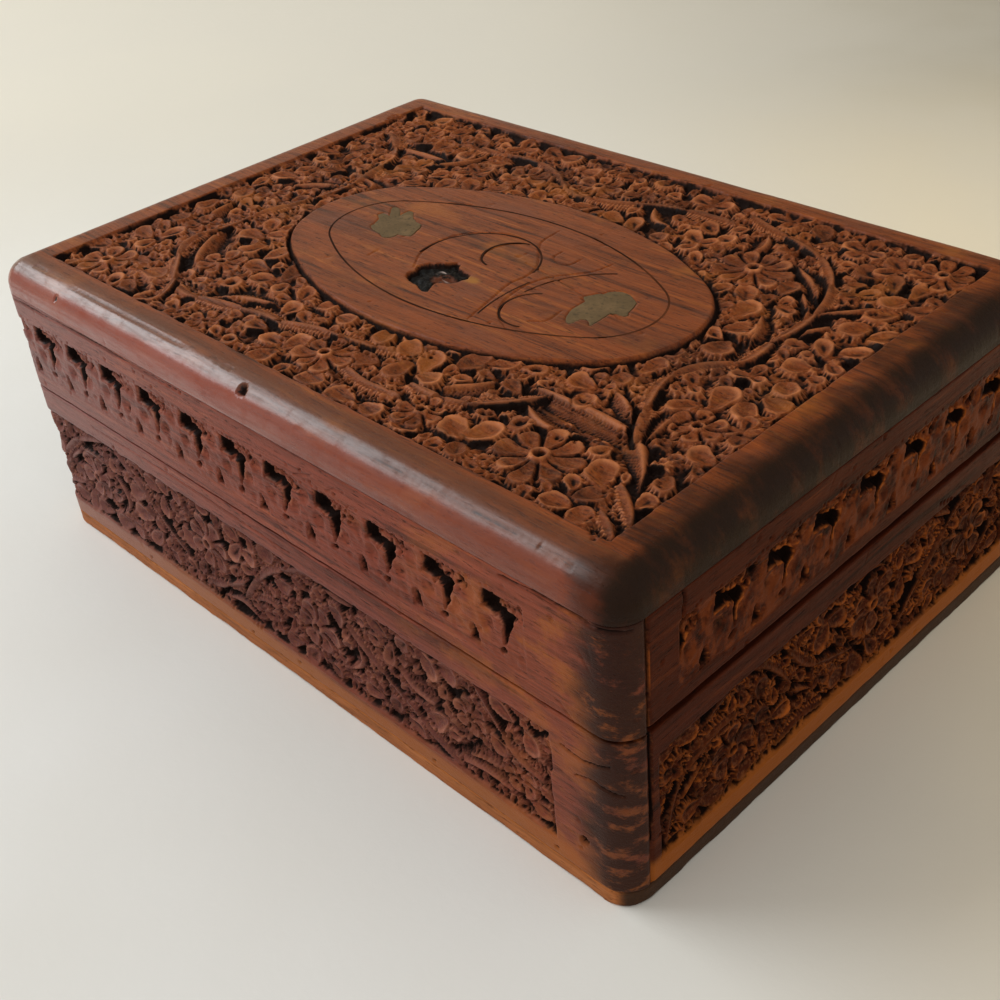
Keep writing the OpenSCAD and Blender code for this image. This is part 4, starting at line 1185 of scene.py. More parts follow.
for name, face in faces.items():
    weather(face, seed=200 + len(name) + int(face.u[-1]), scratches=18, dents=26)
    end_out = face.u[-1] - np.abs(face.U)
    face.h -= (0.9 if name == "body_right" else 0.5) * ease(1.1, 0.0, end_out)
    face.h = np.clip(face.h, LOWEST, 0.0)

# %% The side boards
HINGE_Y, HINGE_Z, STOP = 87.0, 54.4, math.radians(52.5)


def under_stop(z):
    """How far back the wood may reach at each height: the stop's bevel along the back rim."""
    rise = np.abs(z - HINGE_Z) - 0.2 / math.cos(STOP)
    return np.minimum(HINGE_Y + np.maximum(rise, 0) / math.tan(STOP), HALF_D)


boards = {}
for name, (low, high, facing, long_side, cell) in SIDES.items():
    limit = under_stop if name in ("body_back", "lid_back") else None
    piece = board("carved_" + name + "_board", faces[name], low, high, long_side, facing, cell,
                  limit)
    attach(piece, "lid" if name.startswith("lid") else "box_body")
    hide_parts(name + "_wall")
    boards[name] = piece
    print(piece.name, len(piece.data.vertices), "points")

# %% [markdown]
# ## Room for the hinges
# The knuckles of the two butt hinges need a round pocket in the back boards, and their leaves a
# shallow bed in the rims. These are plain mortises with crisp edges, so they are cut with a
# boolean, which suits hard shapes better than a height map does.

# %% Hinge pockets
HINGE_X, HINGE_LEN, POCKET_R = 82.0, 30.0, 2.1
HINGE_BED = 0.9 + 0.2               # thickness of a leaf and half the gap between the two


def pocket_cutter():
    """One mesh with the room for both hinges: round pockets and shallow beds."""
    mesh = bmesh.new()
    room = (HINGE_LEN + 0.6) * MM
    for side in (-1, 1):
        at = Matrix.Translation((side * HINGE_X * MM, HINGE_Y * MM, HINGE_Z * MM))
        turn = Matrix.Rotation(math.pi / 2, 4, "Y")
        bmesh.ops.create_cone(mesh, cap_ends=True, segments=32, radius1=POCKET_R * MM,
                              radius2=POCKET_R * MM, depth=room, matrix=at @ turn)
    knuckles = bpy.data.meshes.new("knuckle_room")
    mesh.to_mesh(knuckles)
    mesh.clear()
    for side in (-1, 1):
        at = Matrix.Translation((side * HINGE_X * MM, (HINGE_Y - 3.5) * MM, HINGE_Z * MM))
        size = Matrix.Diagonal((room, 7.0 * MM, 2 * HINGE_BED * MM, 1))
        bmesh.ops.create_cube(mesh, size=1.0, matrix=at @ size)
    beds = bpy.data.meshes.new("leaf_beds")
    mesh.to_mesh(beds)
    mesh.free()
    return [bpy.data.objects.new(m.name, m) for m in (knuckles, beds)]


cutters = pocket_cutter()
for cutter in cutters:
    bpy.context.collection.objects.link(cutter)
for name in ("body_back", "lid_back"):
    piece = boards[name]
    before = len(piece.data.vertices)
    for cutter in cutters:
        cut = piece.modifiers.new("pocket", "BOOLEAN")
        cut.operation, cut.solver, cut.object = "DIFFERENCE", "MANIFOLD", cutter
    shown = piece.evaluated_get(bpy.context.evaluated_depsgraph_get())
    carved = bpy.data.meshes.new_from_object(shown)
    piece.modifiers.clear()
    piece.data = carved
    print(name, "points before and after the pockets:", before, len(carved.vertices))
for cutter in cutters:
    bpy.data.objects.remove(cutter)

# %% [markdown]
# ## The bottom board
# A thin plain board under the four walls, flush with them all round. Its lower edge is worn
# round from years of being slid about, so its outline is swept through a small rounding.

# %% The bottom board
OUTLINE_STEP = 1.2                  # mm from point to point round the board


def outline(w, d, r):
    """Points round a rectangle with rounded corners, anticlockwise, with directions outward."""
    points, normals = [], []
    for cx, cy, first in ((1, -1, -90), (1, 1, 0), (-1, 1, 90), (-1, -1, 180)):
        for a in np.radians(np.linspace(first, first + 90, 9)):
            points.append((cx * (w - r) + r * math.cos(a), cy * (d - r) + r * math.sin(a)))
            normals.append((math.cos(a), math.sin(a)))
    points, normals = np.array(points), np.array(normals)
    loop_p, loop_n = [], []
    for i in range(len(points)):
        j = (i + 1) % len(points)
        count = max(1, int(np.linalg.norm(points[j] - points[i]) / OUTLINE_STEP))
        t = np.linspace(0, 1, count, endpoint=False)[:, None]
        loop_p.append(points[i] * (1 - t) + points[j] * t)
        loop_n.append(normals[i] * (1 - t) + normals[j] * t)
    return np.vstack(loop_p), np.vstack(loop_n)


def bottom_board():
    """Rings round the outline, each with its distance in from it and its height."""
    ring, way = outline(HALF_W, HALF_D, CORNER)
    run, level = np.arange(len(ring)) * OUTLINE_STEP, np.zeros(len(ring))
    worn = 0.75 + 0.35 * patchy(run, level, 9.0, 71) + 0.25 * patchy(run, level, 2.5, 72)
    worn = np.clip(worn, 0.3, 1.3)
    rings = [(worn * (1 - math.sin(k)), worn * (1 - math.cos(k)))
             for k in np.linspace(0, math.pi / 2, 5)]
    rings += [(0.05 + 0.04 * patchy(run, level + h, 5.0, 73), level + h) for h in (2.0, 3.0, 4.0)]
    rings += [(level + 0.03, level + BASE_TOP - 0.25), (level + 0.25, level + BASE_TOP)]
    net = np.vstack([np.column_stack([ring - way * inset[:, None], height])
                     for inset, height in rings])
    ids = np.arange(len(net)).reshape(len(rings), len(ring))
    faces = ring_faces(ids) + [ids[0, ::-1].tolist(), ids[-1].tolist()]
    return mesh_piece("bottom_board", net, faces)


base = bottom_board()
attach(base, "box_body")
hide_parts("base_board")
print("bottom board", len(base.data.vertices), "points")

# %% [markdown]
# ## Brass leaves and the broken recess
# Two leaves of sheet brass are let in flush and have dulled to an olive grey. Seen from its
# heel, a leaf's outline lies at one distance in each direction, so the leaf can be built from
# rings that run from the heel out to the outline. That leaves plenty of points for the slight
# crown and the small dents. A third leaf is lost: its bed holds the old lac that once held it.

# %% The brass leaves
def round_net(name, place, reach, share, height_at, heel, foot):
    """A closed piece in rings round a heel. reach is its outline in each direction, share how
    far out each ring lies, height_at the height of a point, and foot the last ring: how far
    in from the outline and how high."""
    x0, y0 = place[0]
    angle = np.linspace(0, 2 * math.pi, len(reach), endpoint=False)
    x, y = x0 + share * reach * np.cos(angle), y0 + share * reach * np.sin(angle)
    net = [(x0, y0, heel)] + np.stack([x, y, height_at(x, y, share)], -1).reshape(-1, 3).tolist()
    inset, low = foot
    net += np.column_stack([x0 + (reach - inset) * np.cos(angle),
                            y0 + (reach - inset) * np.sin(angle), np.full(len(reach), low)]).tolist()
    ids = 1 + np.arange(len(net) - 1).reshape(-1, len(reach))
    faces = ring_faces(ids, inward=True)
    faces += [[0, int(a), int(b)] for a, b in zip(ids[0], np.roll(ids[0], -1))]
    faces.append(ids[-1][::-1].tolist())
    return mesh_piece(name, np.array(net) + (0, 0, BOX_TOP), faces)


def ragged(place, count, seed, size):
    """A leaf's outline in count directions, made a little uneven."""
    angle = np.linspace(0, 2 * math.pi, count, endpoint=False)
    return outline_reach(angle, place[1]), size * patchy(angle * 9, 0 * angle, 1.0, seed)


def brass_leaf(name, place, seed):
    def height_at(x, y, share):
        return -0.01 - 0.10 * share ** 6 + 0.035 * patchy(x, y, 2.5, seed + 1)
    marks, uneven = ragged(place, 240, seed, 0.08)
    share = np.linspace(0, 1, 34)[1:, None] ** 0.85
    piece = round_net(name, place, marks - 0.14 + uneven, share, height_at, 0.0, (0.02, -0.9))
    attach(piece, "lid")
    return piece


leaf_left = brass_leaf("brass_leaf_dull_left", LEAF_LEFT, 81)
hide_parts("brass_leaf_left")
leaf_right = brass_leaf("brass_leaf_dull_right", LEAF_RIGHT, 83)
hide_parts("brass_leaf_right")
print("brass leaves", len(leaf_left.data.vertices), "points each")

# %% [markdown]
# ## Old lac in the broken bed
# The lac is a black, brittle crust with a ragged outline, chalky where it has crumbled. It is
# built in rings like the brass leaves, but two patterns of noise make its surface lumpy.

# %% The lac
def lac_height(x, y, share):
    return -1.12 + 0.42 * patchy(x, y, 2.2, 92) + 0.22 * patchy(x, y, 0.8, 93) - 0.45 * share ** 4


marks, uneven = ragged(LEAF_LOST, 160, 91, 0.25)
lac = round_net("old_lac", LEAF_LOST, marks * 0.96 - 0.2 + uneven, np.linspace(0, 1, 30)[1:, None],
                lac_height, -1.0, (0.0, -1.8))
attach(lac, "lid")
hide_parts("lac_filling")
print("lac", len(lac.data.vertices), "points")

# %% [markdown]
# ## Building materials
# Node trees are easier to read when each node is one line. `Nodes.add` makes a node, sets its
# options and joins or fills its sockets, and the calls after it are short names for what comes
# up most. The effects that several materials share are node groups, built once: the grain of
# the wood, and the dirt and wear that follow the carving.

# %% Helpers for node trees
class Nodes:
    """A node tree with one call for each node."""

    def __init__(self, tree):
        self.tree = tree

    def add(self, kind, inputs=None, out=0, **options):
        node = self.tree.nodes.new("ShaderNode" + kind)
        for key, value in options.items():
            setattr(node, key, value)
        for key, value in (inputs or {}).items():
            self.fill(node.inputs[key], value)
        return node.outputs[out]

    def fill(self, socket, value):
        if isinstance(value, bpy.types.NodeSocket):
            self.tree.links.new(value, socket)
        else:
            socket.default_value = value

    def math(self, operation, a, b=0.0, clamp=False):
        return self.add("Math", {0: a, 1: b}, operation=operation, use_clamp=clamp)

    def mix(self, factor, a, b, blend="MIX"):
        return self.add("Mix", {0: factor, 6: a, 7: b}, out=2, data_type="RGBA", blend_type=blend)

    def span(self, value, low, high, to_low=0.0, to_high=1.0):
        return self.add("MapRange", {0: value, 1: low, 2: high, 3: to_low, 4: to_high},
                        interpolation_type="SMOOTHSTEP")

    def times(self, *values):
        """The product of two or more values."""
        product = values[0]
        for value in values[1:]:
            product = self.math("MULTIPLY", product, value)
        return product

    def plus(self, value, other, share=1.0):
        """A value with a share of another one added."""
        return self.math("ADD", value, other if share == 1.0 else self.times(other, share))

    def axes(self, place):
        """The x, y and z of a place."""
        return self.add("SeparateXYZ", {0: place}).node.outputs[:3]

    def away(self, place, point):
        """The distance from a point."""
        return self.add("VectorMath", {0: place, 1: point}, out=1, operation="DISTANCE")

    def noise(self, vector, scale, detail=3.0, rough=0.55):
        return self.add("TexNoise", {"Vector": vector, "Scale": scale, "Detail": detail,
                                     "Roughness": rough})

    def stretch(self, vector, scale):
        return self.add("VectorMath", {0: vector, 1: scale}, operation="MULTIPLY")


def paint(r, g, b):
    """A colour read as 0 to 255 numbers, in the linear values that nodes use."""
    return tuple(c / 12.92 if c <= 0.04045 else ((c + 0.055) / 1.055) ** 2.4
                 for c in (r / 255, g / 255, b / 255)) + (1.0,)


def new_group(name, inputs, outputs):
    """An empty node group with named sockets: (name, kind, default)."""
    group = bpy.data.node_groups.new(name, "ShaderNodeTree")
    for key, kind, value in inputs:
        socket = group.interface.new_socket(key, in_out="INPUT", socket_type="NodeSocket" + kind)
        if value is not None:
            socket.default_value = value
    for key, kind in outputs:
        group.interface.new_socket(key, in_out="OUTPUT", socket_type="NodeSocket" + kind)
    return group, Nodes(group), group.nodes.new("NodeGroupInput").outputs, \
        group.nodes.new("NodeGroupOutput").inputs

# %% [markdown]
# ## Rosewood
# Rosewood is a red-brown wood with near-black growth streaks and long open pores. Solid grain
# means that the pattern is a function of the place in space, not of a flat map, so it runs
# truly over a rounded edge and shows end grain where a board is cut across. The pattern is made
# of noise stretched along the board: broad bands, fine fibres and short dark pores.

# %% The grain group
grain_group, g, gi, go = new_group(
    "rosewood grain",
    [("Place", "Vector", None), ("Wood", "Color", paint(120, 66, 42)),
     ("Light streak", "Color", paint(160, 92, 52)), ("Dark streak", "Color", paint(58, 28, 20)),
     ("Streak amount", "Float", 0.6), ("Seed", "Float", 0.0)],
    [("Color", "Color"), ("Gloss", "Float"), ("Relief", "Float")])
seed_at = g.add("CombineXYZ", {0: 0.0, 1: gi["Seed"], 2: gi["Seed"]})
shifted = g.add("VectorMath", {0: gi["Place"], 1: seed_at}, operation="ADD")
warp = g.add("TexNoise", {"Vector": g.stretch(shifted, (9.0, 30.0, 30.0)), "Scale": 1.0,
                          "Detail": 2.0}, out=1)
bent = g.add("VectorMath", {0: shifted, 1: g.stretch(warp, (0.0, 0.010, 0.010))}, operation="ADD")
broad = g.noise(g.stretch(bent, (7.0, 110.0, 110.0)), 1.0, 3.0, 0.6)
bands = g.noise(g.stretch(bent, (10.0, 420.0, 420.0)), 1.0, 4.0, 0.62)
fibre = g.noise(g.stretch(bent, (60.0, 1300.0, 1300.0)), 1.0, 4.0, 0.65)
pores = g.noise(g.stretch(bent, (230.0, 2300.0, 2300.0)), 1.0, 2.0, 0.55)
dark_at = g.times(g.span(bands, 0.50, 0.66), g.span(broad, 0.38, 0.62, 0.25, 1.0))
light_at = g.span(bands, 0.46, 0.30)
colour = g.mix(g.times(light_at, 0.75), gi["Wood"], gi["Light streak"])
colour = g.mix(g.times(dark_at, gi["Streak amount"]), colour, gi["Dark streak"])
colour = g.mix(g.span(fibre, 0.38, 0.68, 0.0, 0.60), colour, g.mix(0.72, colour, gi["Dark streak"]))
pore_at = g.span(pores, 0.60, 0.68)
colour = g.mix(g.times(pore_at, 0.75), colour, gi["Dark streak"])
g.fill(go["Color"], colour)
g.fill(go["Gloss"], g.plus(g.times(fibre, 0.35), pore_at, 0.4))
g.fill(go["Relief"], g.math("SUBTRACT", g.times(fibre, -0.5), pore_at))
print("grain group with", len(grain_group.nodes), "nodes")

# %% [markdown]
# ## Dirt, wear and painted light
# The finish on an old carved box is mostly history: dark grime packed in the hollows, and bare
# lighter wood on the edges that hands touch. The same dark colour is also painted shade in the
# deep ground, on steep walls and in narrow gaps, and the lighter colour is also a painted
# highlight on crests and on the tops of gouge marks. The boards carry three readings of their
# own carving, `deep`, `hollow` and `worn_and_highlit`, and this group turns them into colour
# and gloss. A speckle keeps the grime and painted shade from looking sprayed on.

# %% The dirt, wear and painted light group
dirt_wear_and_light_group, g, gi, go = new_group(
    "carving dirt, wear and painted light",
    [("Place", "Vector", None), ("Color", "Color", None), ("Deep", "Float", 0.0),
     ("Hollow", "Float", 0.0), ("Worn_And_Highlit", "Float", 0.0), ("Grime and shade", "Color", paint(18, 8, 5)),
     ("Bare wood and highlight", "Color", paint(176, 104, 64)), ("Dust", "Color", paint(150, 92, 56)),
     ("Dust amount", "Float", 0.4), ("Wear amount", "Float", 0.6)],
    [("Color", "Color"), ("Rough", "Float"), ("Polish", "Float")])
mottle = g.noise(gi["Place"], 240.0, 4.0, 0.65)
speck = g.noise(gi["Place"], 900.0, 3.0, 0.6)
shut_in = g.plus(g.times(gi["Hollow"], 0.80), gi["Deep"], 0.30)
shut_in = g.plus(shut_in, g.math("SUBTRACT", mottle, 0.5), 0.5)
# Dark grime in the hollows, which also stands in for shade: deep ground, steep walls and narrow gaps are
# painted near-black.
grime_and_shade_at = g.span(shut_in, 0.22, 0.80, 0.0, 0.98)
# Bare wood where hands rub the tops, and painted highlights on crests and lit gouge marks.
worn_and_highlit_at = g.times(g.span(gi["Worn_And_Highlit"], 0.15, 0.9), g.span(mottle, 0.25, 0.60, 0.45, 1.0))
colour = g.mix(g.times(worn_and_highlit_at, gi["Wear amount"]), gi["Color"], gi["Bare wood and highlight"])
dust_at = g.times(g.span(gi["Deep"], 0.12, 0.4), g.span(gi["Deep"], 0.98, 0.6),
                  g.span(speck, 0.48, 0.62))
colour = g.mix(g.times(dust_at, gi["Dust amount"]), colour, gi["Dust"])
colour = g.mix(grime_and_shade_at, colour, gi["Grime and shade"])
g.fill(go["Color"], colour)
g.fill(go["Rough"], g.plus(g.times(grime_and_shade_at, 0.35), mottle, 0.22))
rubbed = g.math("MAXIMUM", g.span(gi["Deep"], 0.35, 0.05), gi["Worn_And_Highlit"])
g.fill(go["Polish"], g.times(rubbed, g.span(mottle, 0.20, 0.55, 0.4, 1.0)))
print("wear group with", len(dirt_wear_and_light_group.nodes), "nodes")

# %% The rosewood materials
HARDLY_HANDLED = 0.015              # polish on a board that is seldom touched


def principled(name):
    """A material with an empty tree but for its shader and output."""
    material = bpy.data.materials.new(name)
    material.use_nodes = True
    tree = Nodes(material.node_tree)
    return material, tree, material.node_tree.nodes["Principled BSDF"].inputs


def use_group(tree, group, inputs):
    """Places a node group in a material and gives back its outputs."""
    node = tree.tree.nodes.new("ShaderNodeGroup")
    node.node_tree = group
    for key, value in inputs.items():
        tree.fill(node.inputs[key], value)
    return node.outputs


def rosewood(name, wood, light, dark, seed, tint, streaks=0.6, across=False,
             bare=(176, 104, 64), dust=0.25, wear=0.6, gloss=0.40, shine=None):
    """Rosewood for one kind of board. across turns the grain to run front to back. tint adds
    the stains of that board and, on some boards, painted shade and sheen, and shine says where
    hands have polished it. Each stain or painted mark below is a mask made of the place and
    some noise, in metres."""
    material, t, shader = principled(name)
    place = t.add("TexCoord", out=3)
    along = place
    if across:
        along = t.add("VectorRotate", {"Vector": place, "Angle": math.pi / 2},
                      rotation_type="Z_AXIS")
    wood_at = use_group(t, grain_group, {
        "Place": along, "Wood": paint(*wood), "Light streak": paint(*light),
        "Dark streak": paint(*dark), "Streak amount": streaks, "Seed": seed})
    reading = {key.title(): t.add("Attribute", attribute_name=key, out=2)
               for key in ("deep", "hollow", "worn_and_highlit")}
    worn = use_group(t, dirt_wear_and_light_group, {
        "Place": place, "Color": tint(t, wood_at["Color"], place), "Bare wood and highlight": paint(*bare),
        "Dust amount": dust, "Wear amount": wear, **reading})
    t.fill(shader["Base Color"], worn["Color"])
    rough = t.plus(worn["Rough"], wood_at["Gloss"], 0.30)
    t.fill(shader["Roughness"], t.math("ADD", rough, gloss - 0.15, clamp=True))
    handled = shine(t, place) if shine else HARDLY_HANDLED
    t.fill(shader["Coat Weight"], t.times(worn["Polish"], handled))
    shader["Coat Roughness"].default_value = 0.25
    shader["Specular IOR Level"].default_value = 0.04 if across else 0.10
    grit = t.times(t.noise(place, 1100.0, 4.0, 0.7), t.span(reading["Deep"], 0.1, 0.5, 0.6, 2.6))
    t.fill(shader["Normal"], t.add("Bump", {"Strength": 0.45, "Distance": 0.0004,
                                            "Height": t.plus(wood_at["Relief"], grit)}))
    return material


# %% Stains, painted shade and polish of the top board
def top_stains_and_shade(t, colour, place):
    """Dark streaks at the right rim and in the middle, painted shade on the right rounding and
    the side below it, which face away from the lamp, and a redder worn front rounding.
    """
    x, y, z = t.axes(place)
    wander = t.times(t.math("SUBTRACT", t.noise(place, 60.0, 3.0), 0.5), 0.03)
    blotch = t.span(t.noise(t.stretch(place, (12.0, 60.0, 60.0)), 1.0, 3.0), 0.56, 0.70)
    colour = t.mix(t.times(blotch, 0.40), colour, paint(52, 30, 24))
    cloud = t.noise(t.stretch(place, (34.0, 52.0, 52.0)), 1.0, 4.0, 0.6)
    colour = t.mix(t.span(cloud, 0.52, 0.70, 0.0, 0.50), colour, paint(112, 62, 42))
    colour = t.mix(t.span(cloud, 0.46, 0.30, 0.0, 0.55), colour, paint(154, 88, 32))
    front = t.span(y, -0.0765, -0.0790)
    flat = t.times(front, t.span(cloud, 0.30, 0.62, 0.35, 0.80))
    colour = t.mix(flat, colour, paint(92, 52, 34))
    under = t.times(front, t.span(t.plus(z, wander, 0.04), 0.0955, 0.0940))
    to_left = t.span(t.plus(x, wander), 0.10, -0.05, 0.35, 0.75)
    colour = t.mix(t.times(under, to_left), colour, paint(140, 54, 34))
    # Painted shade: the right rounding and the side below it are darkened, with dark streaks across them,
    # where they face away from the lamp.
    right_rim_streaks_and_shade = t.span(t.plus(x, wander), 0.111, 0.120)
    cross = t.noise(t.stretch(place, (34.0, 130.0, 90.0)), 1.0, 4.0, 0.6)
    colour = t.mix(t.times(right_rim_streaks_and_shade, t.span(cross, 0.30, 0.60, 0.50, 0.85)), colour,
                   paint(46, 22, 11))
    turned_down_shade = t.times(t.span(x, 0.1185, 0.1225), t.span(cross, 0.36, 0.55, 0.55, 0.92))
    colour = t.mix(turned_down_shade, colour, paint(34, 20, 10))
    from_glue = t.away(t.stretch(place, (1.0, 1.6, 0.0)), (0.0052, -0.0166, 0.0))
    glue = t.span(t.plus(from_glue, wander, 0.35), 0.0046, 0.0020)
    return t.mix(t.times(glue, 0.75), colour, paint(158, 104, 34))


def top_shine(t, place):
    """Polish on the front rounding, less of it towards the right."""
    x, y, _ = t.axes(place)
    rounding = t.span(y, -0.0795, -0.0835)
    rubbed_along = t.noise(t.stretch(place, (50.0, 700.0, 700.0)), 1.0, 4.0, 0.65)
    to_left = t.times(t.span(x, 0.11, -0.04, 0.42, 1.0), t.span(x, 0.1185, 0.1130),
                      t.span(rubbed_along, 0.34, 0.60, 0.55, 1.0))
    return t.plus(t.times(rounding, to_left), t.span(x, 0.108, 0.113, 0.16, 0.0))

# %% Stains, painted light and shade, and polish of the other boards
def uneven_line(t, place, stretch):
    """Noise from -0.5 to 0.5 that keeps the border of a stain from running straight."""
    return t.math("SUBTRACT", t.noise(t.stretch(place, stretch), 1.0, 4.0), 0.5)


def long_shine(t, place):
    """A little polish on the front, most of it at the left."""
    return t.span(t.axes(place)[0], 0.05, -0.12, 0.01, 0.34)


def long_stains_and_sheen(t, colour, place):
    """Orange bare wood along the bottom and towards the right corner, and a painted sheen of reflected
    light on the left.
    """
    x, _, z = t.axes(place)
    wander = uneven_line(t, place, (18.0, 40.0, 90.0))
    bottom = t.span(t.plus(z, wander, 0.006), 0.0125, 0.0085)
    colour = t.mix(t.times(bottom, 0.9), colour, paint(150, 88, 44))
    to_right = t.span(t.plus(x, wander, 0.12), 0.03, 0.112)
    broken = t.noise(t.stretch(place, (60.0, 60.0, 90.0)), 1.0, 4.0, 0.65)
    colour = t.mix(t.times(to_right, t.span(broken, 0.44, 0.60, 0.12, 0.85)), colour,
                   paint(154, 84, 36))
    band = t.times(t.span(z, 0.009, 0.013), t.span(z, 0.050, 0.044),
                   t.span(x, 0.105, 0.06, 0.15, 0.60))
    colour = t.mix(band, colour, paint(92, 56, 54))
    # Painted sheen: a lighter purple-grey on the left stands in for light reflected off that part of the
    # front.
    left_painted_sheen = t.times(t.span(x, -0.02, -0.11), 0.50)
    colour = t.mix(left_painted_sheen, colour, paint(128, 84, 80))
    streaky = t.noise(t.stretch(place, (130.0, 130.0, 260.0)), 1.0, 5.0, 0.7)
    corner = t.times(t.span(t.plus(x, wander, 0.020), 0.1085, 0.1195),
                     t.span(streaky, 0.50, 0.66, 0.96, 0.40))
    return t.mix(corner, colour, paint(44, 20, 11))


def end_stains(t, colour, place):
    """A bare orange margin below the carving, and rubbed and grimy patches in the lid's band."""
    x, y, z = t.axes(place)
    margin = t.span(t.plus(z, uneven_line(t, place, (40.0, 18.0, 90.0)), 0.006), 0.0135, 0.0105)
    colour = t.mix(t.times(margin, 0.9), colour, paint(150, 82, 30))
    band = t.times(t.span(z, 0.0595, 0.0605), t.span(z, 0.0800, 0.0788),
                   t.span(t.math("ABSOLUTE", x), 0.1220, 0.1230),
                   t.span(y, 0.0775, 0.0755), t.span(y, -0.0712, -0.0700))
    rubbed = t.noise(t.stretch(place, (150.0, 150.0, 110.0)), 1.0, 4.0, 0.65)
    colour = t.mix(t.times(band, t.span(rubbed, 0.44, 0.56, 0.0, 0.70)), colour,
                   paint(112, 52, 21))
    return t.mix(t.times(band, t.span(rubbed, 0.45, 0.33, 0.0, 0.85)), colour, paint(20, 9, 5))


def base_dirt_and_shade(t, colour, place):
    """Old dark dirt and painted shade on the right edge of the bottom board, which faces away from the
    lamp.
    """
    return t.mix(t.span(t.axes(place)[0], 0.1215, 0.1245, 0.0, 0.92), colour, paint(40, 27, 16))

# %% The four woods
rosewood_top = rosewood("rosewood, top board", (132, 64, 26), (162, 90, 36), (46, 20, 10), 0.11,
                        top_stains_and_shade, streaks=0.85, bare=(206, 126, 76), wear=0.85,
                        shine=top_shine)
rosewood_long = rosewood("rosewood, long boards", (134, 64, 46), (160, 84, 56), (48, 21, 15), 0.37,
                         long_stains_and_sheen, streaks=0.70, bare=(190, 122, 96), shine=long_shine)
# The end boards are painted far darker than the long boards: darker wood, and painted shade for the right
# end, which faces away from the lamp.
rosewood_ends_and_shade = rosewood("rosewood, end boards, darkened as shade", (74, 29, 11), (100, 46, 17), (28, 11, 6), 0.73,
                         end_stains, streaks=0.80, across=True, bare=(190, 100, 36), wear=0.9)
top_board.data.materials.append(rosewood_top)
for name, piece in boards.items():
    piece.data.materials.clear()
    piece.data.materials.append(rosewood_long if name.endswith(("front", "back")) else rosewood_ends_and_shade)
bottom_wood = rosewood("bottom board wood", (166, 98, 50), (190, 120, 68), (92, 50, 26), 0.53,
                       base_dirt_and_shade, streaks=0.4, wear=0.0, dust=0.0, gloss=0.5)
base.data.materials.append(bottom_wood)
print("woods:", [m.name for m in (rosewood_top, rosewood_long, rosewood_ends_and_shade, bottom_wood)])

# %% [markdown]
# ## Metals and lac
# Old brass dulls to an olive brown and keeps its yellow only where it is rubbed. The wires of
# the inlay are so thin that they read as dark lines. Iron nails rust. Each gets a mottle of two
# or three tones and a roughness that follows it.

# %% Dull metal
def dull_metal(name, bright, dull, dark, metallic, rough, scale=300.0, dulled=0.75, glint=0.5):
    """Metal in three tones: patches of dull on bright, with dark specks over both."""
    material, t, shader = principled(name)
    place = t.add("TexCoord", out=3)
    patch, speck = t.noise(place, scale, 4.0, 0.6), t.noise(place, scale * 5, 3.0)
    colour = t.mix(t.span(patch, 0.5 - dulled * 0.4, 0.75 - dulled * 0.2), paint(*bright), paint(*dull))
    colour = t.mix(t.span(speck, 0.52, 0.72, 0.0, 0.8), colour, paint(*dark))
    t.fill(shader["Base Color"], colour)
    shader["Metallic"].default_value = metallic
    shader["Specular IOR Level"].default_value = glint
    t.fill(shader["Roughness"], t.math("ADD", t.times(patch, 0.35), rough - 0.15, clamp=True))
    t.fill(shader["Normal"], t.add("Bump", {"Strength": 0.3, "Distance": 0.0001, "Height": speck}))
    return material


inlay_brass = dull_metal("dull brass leaf", (112, 88, 58), (95, 76, 50), (66, 54, 36), 0.0, 0.6,
                         180.0, glint=0.15)
inlay_wire = dull_metal("inlay wire", (104, 56, 30), (44, 24, 15), (28, 16, 10), 0.0, 0.7, 34.0,
                        0.8, glint=0.05)
hinge_brass = dull_metal("hinge brass", (176, 142, 74), (126, 100, 56), (66, 50, 32), 0.95, 0.36)
hinge_steel = dull_metal("hinge steel", (128, 124, 118), (92, 84, 76), (58, 42, 32), 0.95, 0.42)
iron_nail = dull_metal("nail iron", (74, 62, 54), (58, 44, 36), (70, 38, 22), 0.6, 0.7)

# %% Old black lac
black_lac, t, shader = principled("old black lac")
place = t.add("TexCoord", out=3)
crumb = t.noise(place, 520.0, 4.0, 0.65)
streak = t.noise(t.stretch(place, (70.0, 260.0, 70.0)), 1.0, 2.0)
from_wood = t.away(t.stretch(place, (1.0, 1.4, 0.0)), (-0.0030, -0.0200, 0.0))
bared = t.times(t.span(from_wood, 0.0052, 0.0030), t.span(crumb, 0.38, 0.50))
from_chips = t.away(place, (-0.0040, -0.0104, 0.096))
chalky = t.times(t.span(from_chips, 0.0052, 0.0026), t.span(streak, 0.54, 0.60))
lac_colour = t.mix(bared, paint(14, 11, 9), paint(88, 46, 28))
t.fill(shader["Base Color"], t.mix(chalky, lac_colour, paint(168, 150, 142)))
shader["Specular IOR Level"].default_value = 0.10
t.fill(shader["Roughness"], t.span(crumb, 0.3, 0.7, 0.4, 0.8))
t.fill(shader["Normal"], t.add("Bump", {"Strength": 0.6, "Distance": 0.0004, "Height": crumb}))

leaf_left.data.materials.append(inlay_brass)
leaf_right.data.materials.append(inlay_brass)
lac.data.materials.append(black_lac)

# %% Materials of the pieces that keep their plain shape
for material, names in (
        (inlay_wire, ["brass_oval_line", "brass_scroll_wires"]),
        (iron_nail, ["body_corner_nails", "base_nails", "lid_corner_nails", "lid_top_nails"]),
        (hinge_brass, [f"hinge_{body}_leaf_{side}" for body in ("body", "lid")
                       for side in ("left", "right")]),
        (hinge_steel, ["hinge_pin_left", "hinge_pin_right", "hinge_screws_body",
                       "hinge_screws_lid"])):
    for name in names:
        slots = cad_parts[name].material_slots
        for slot in slots:
            slot.material = material
        if not slots:
            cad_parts[name].data.materials.append(material)
print("materials:", len(bpy.data.materials))

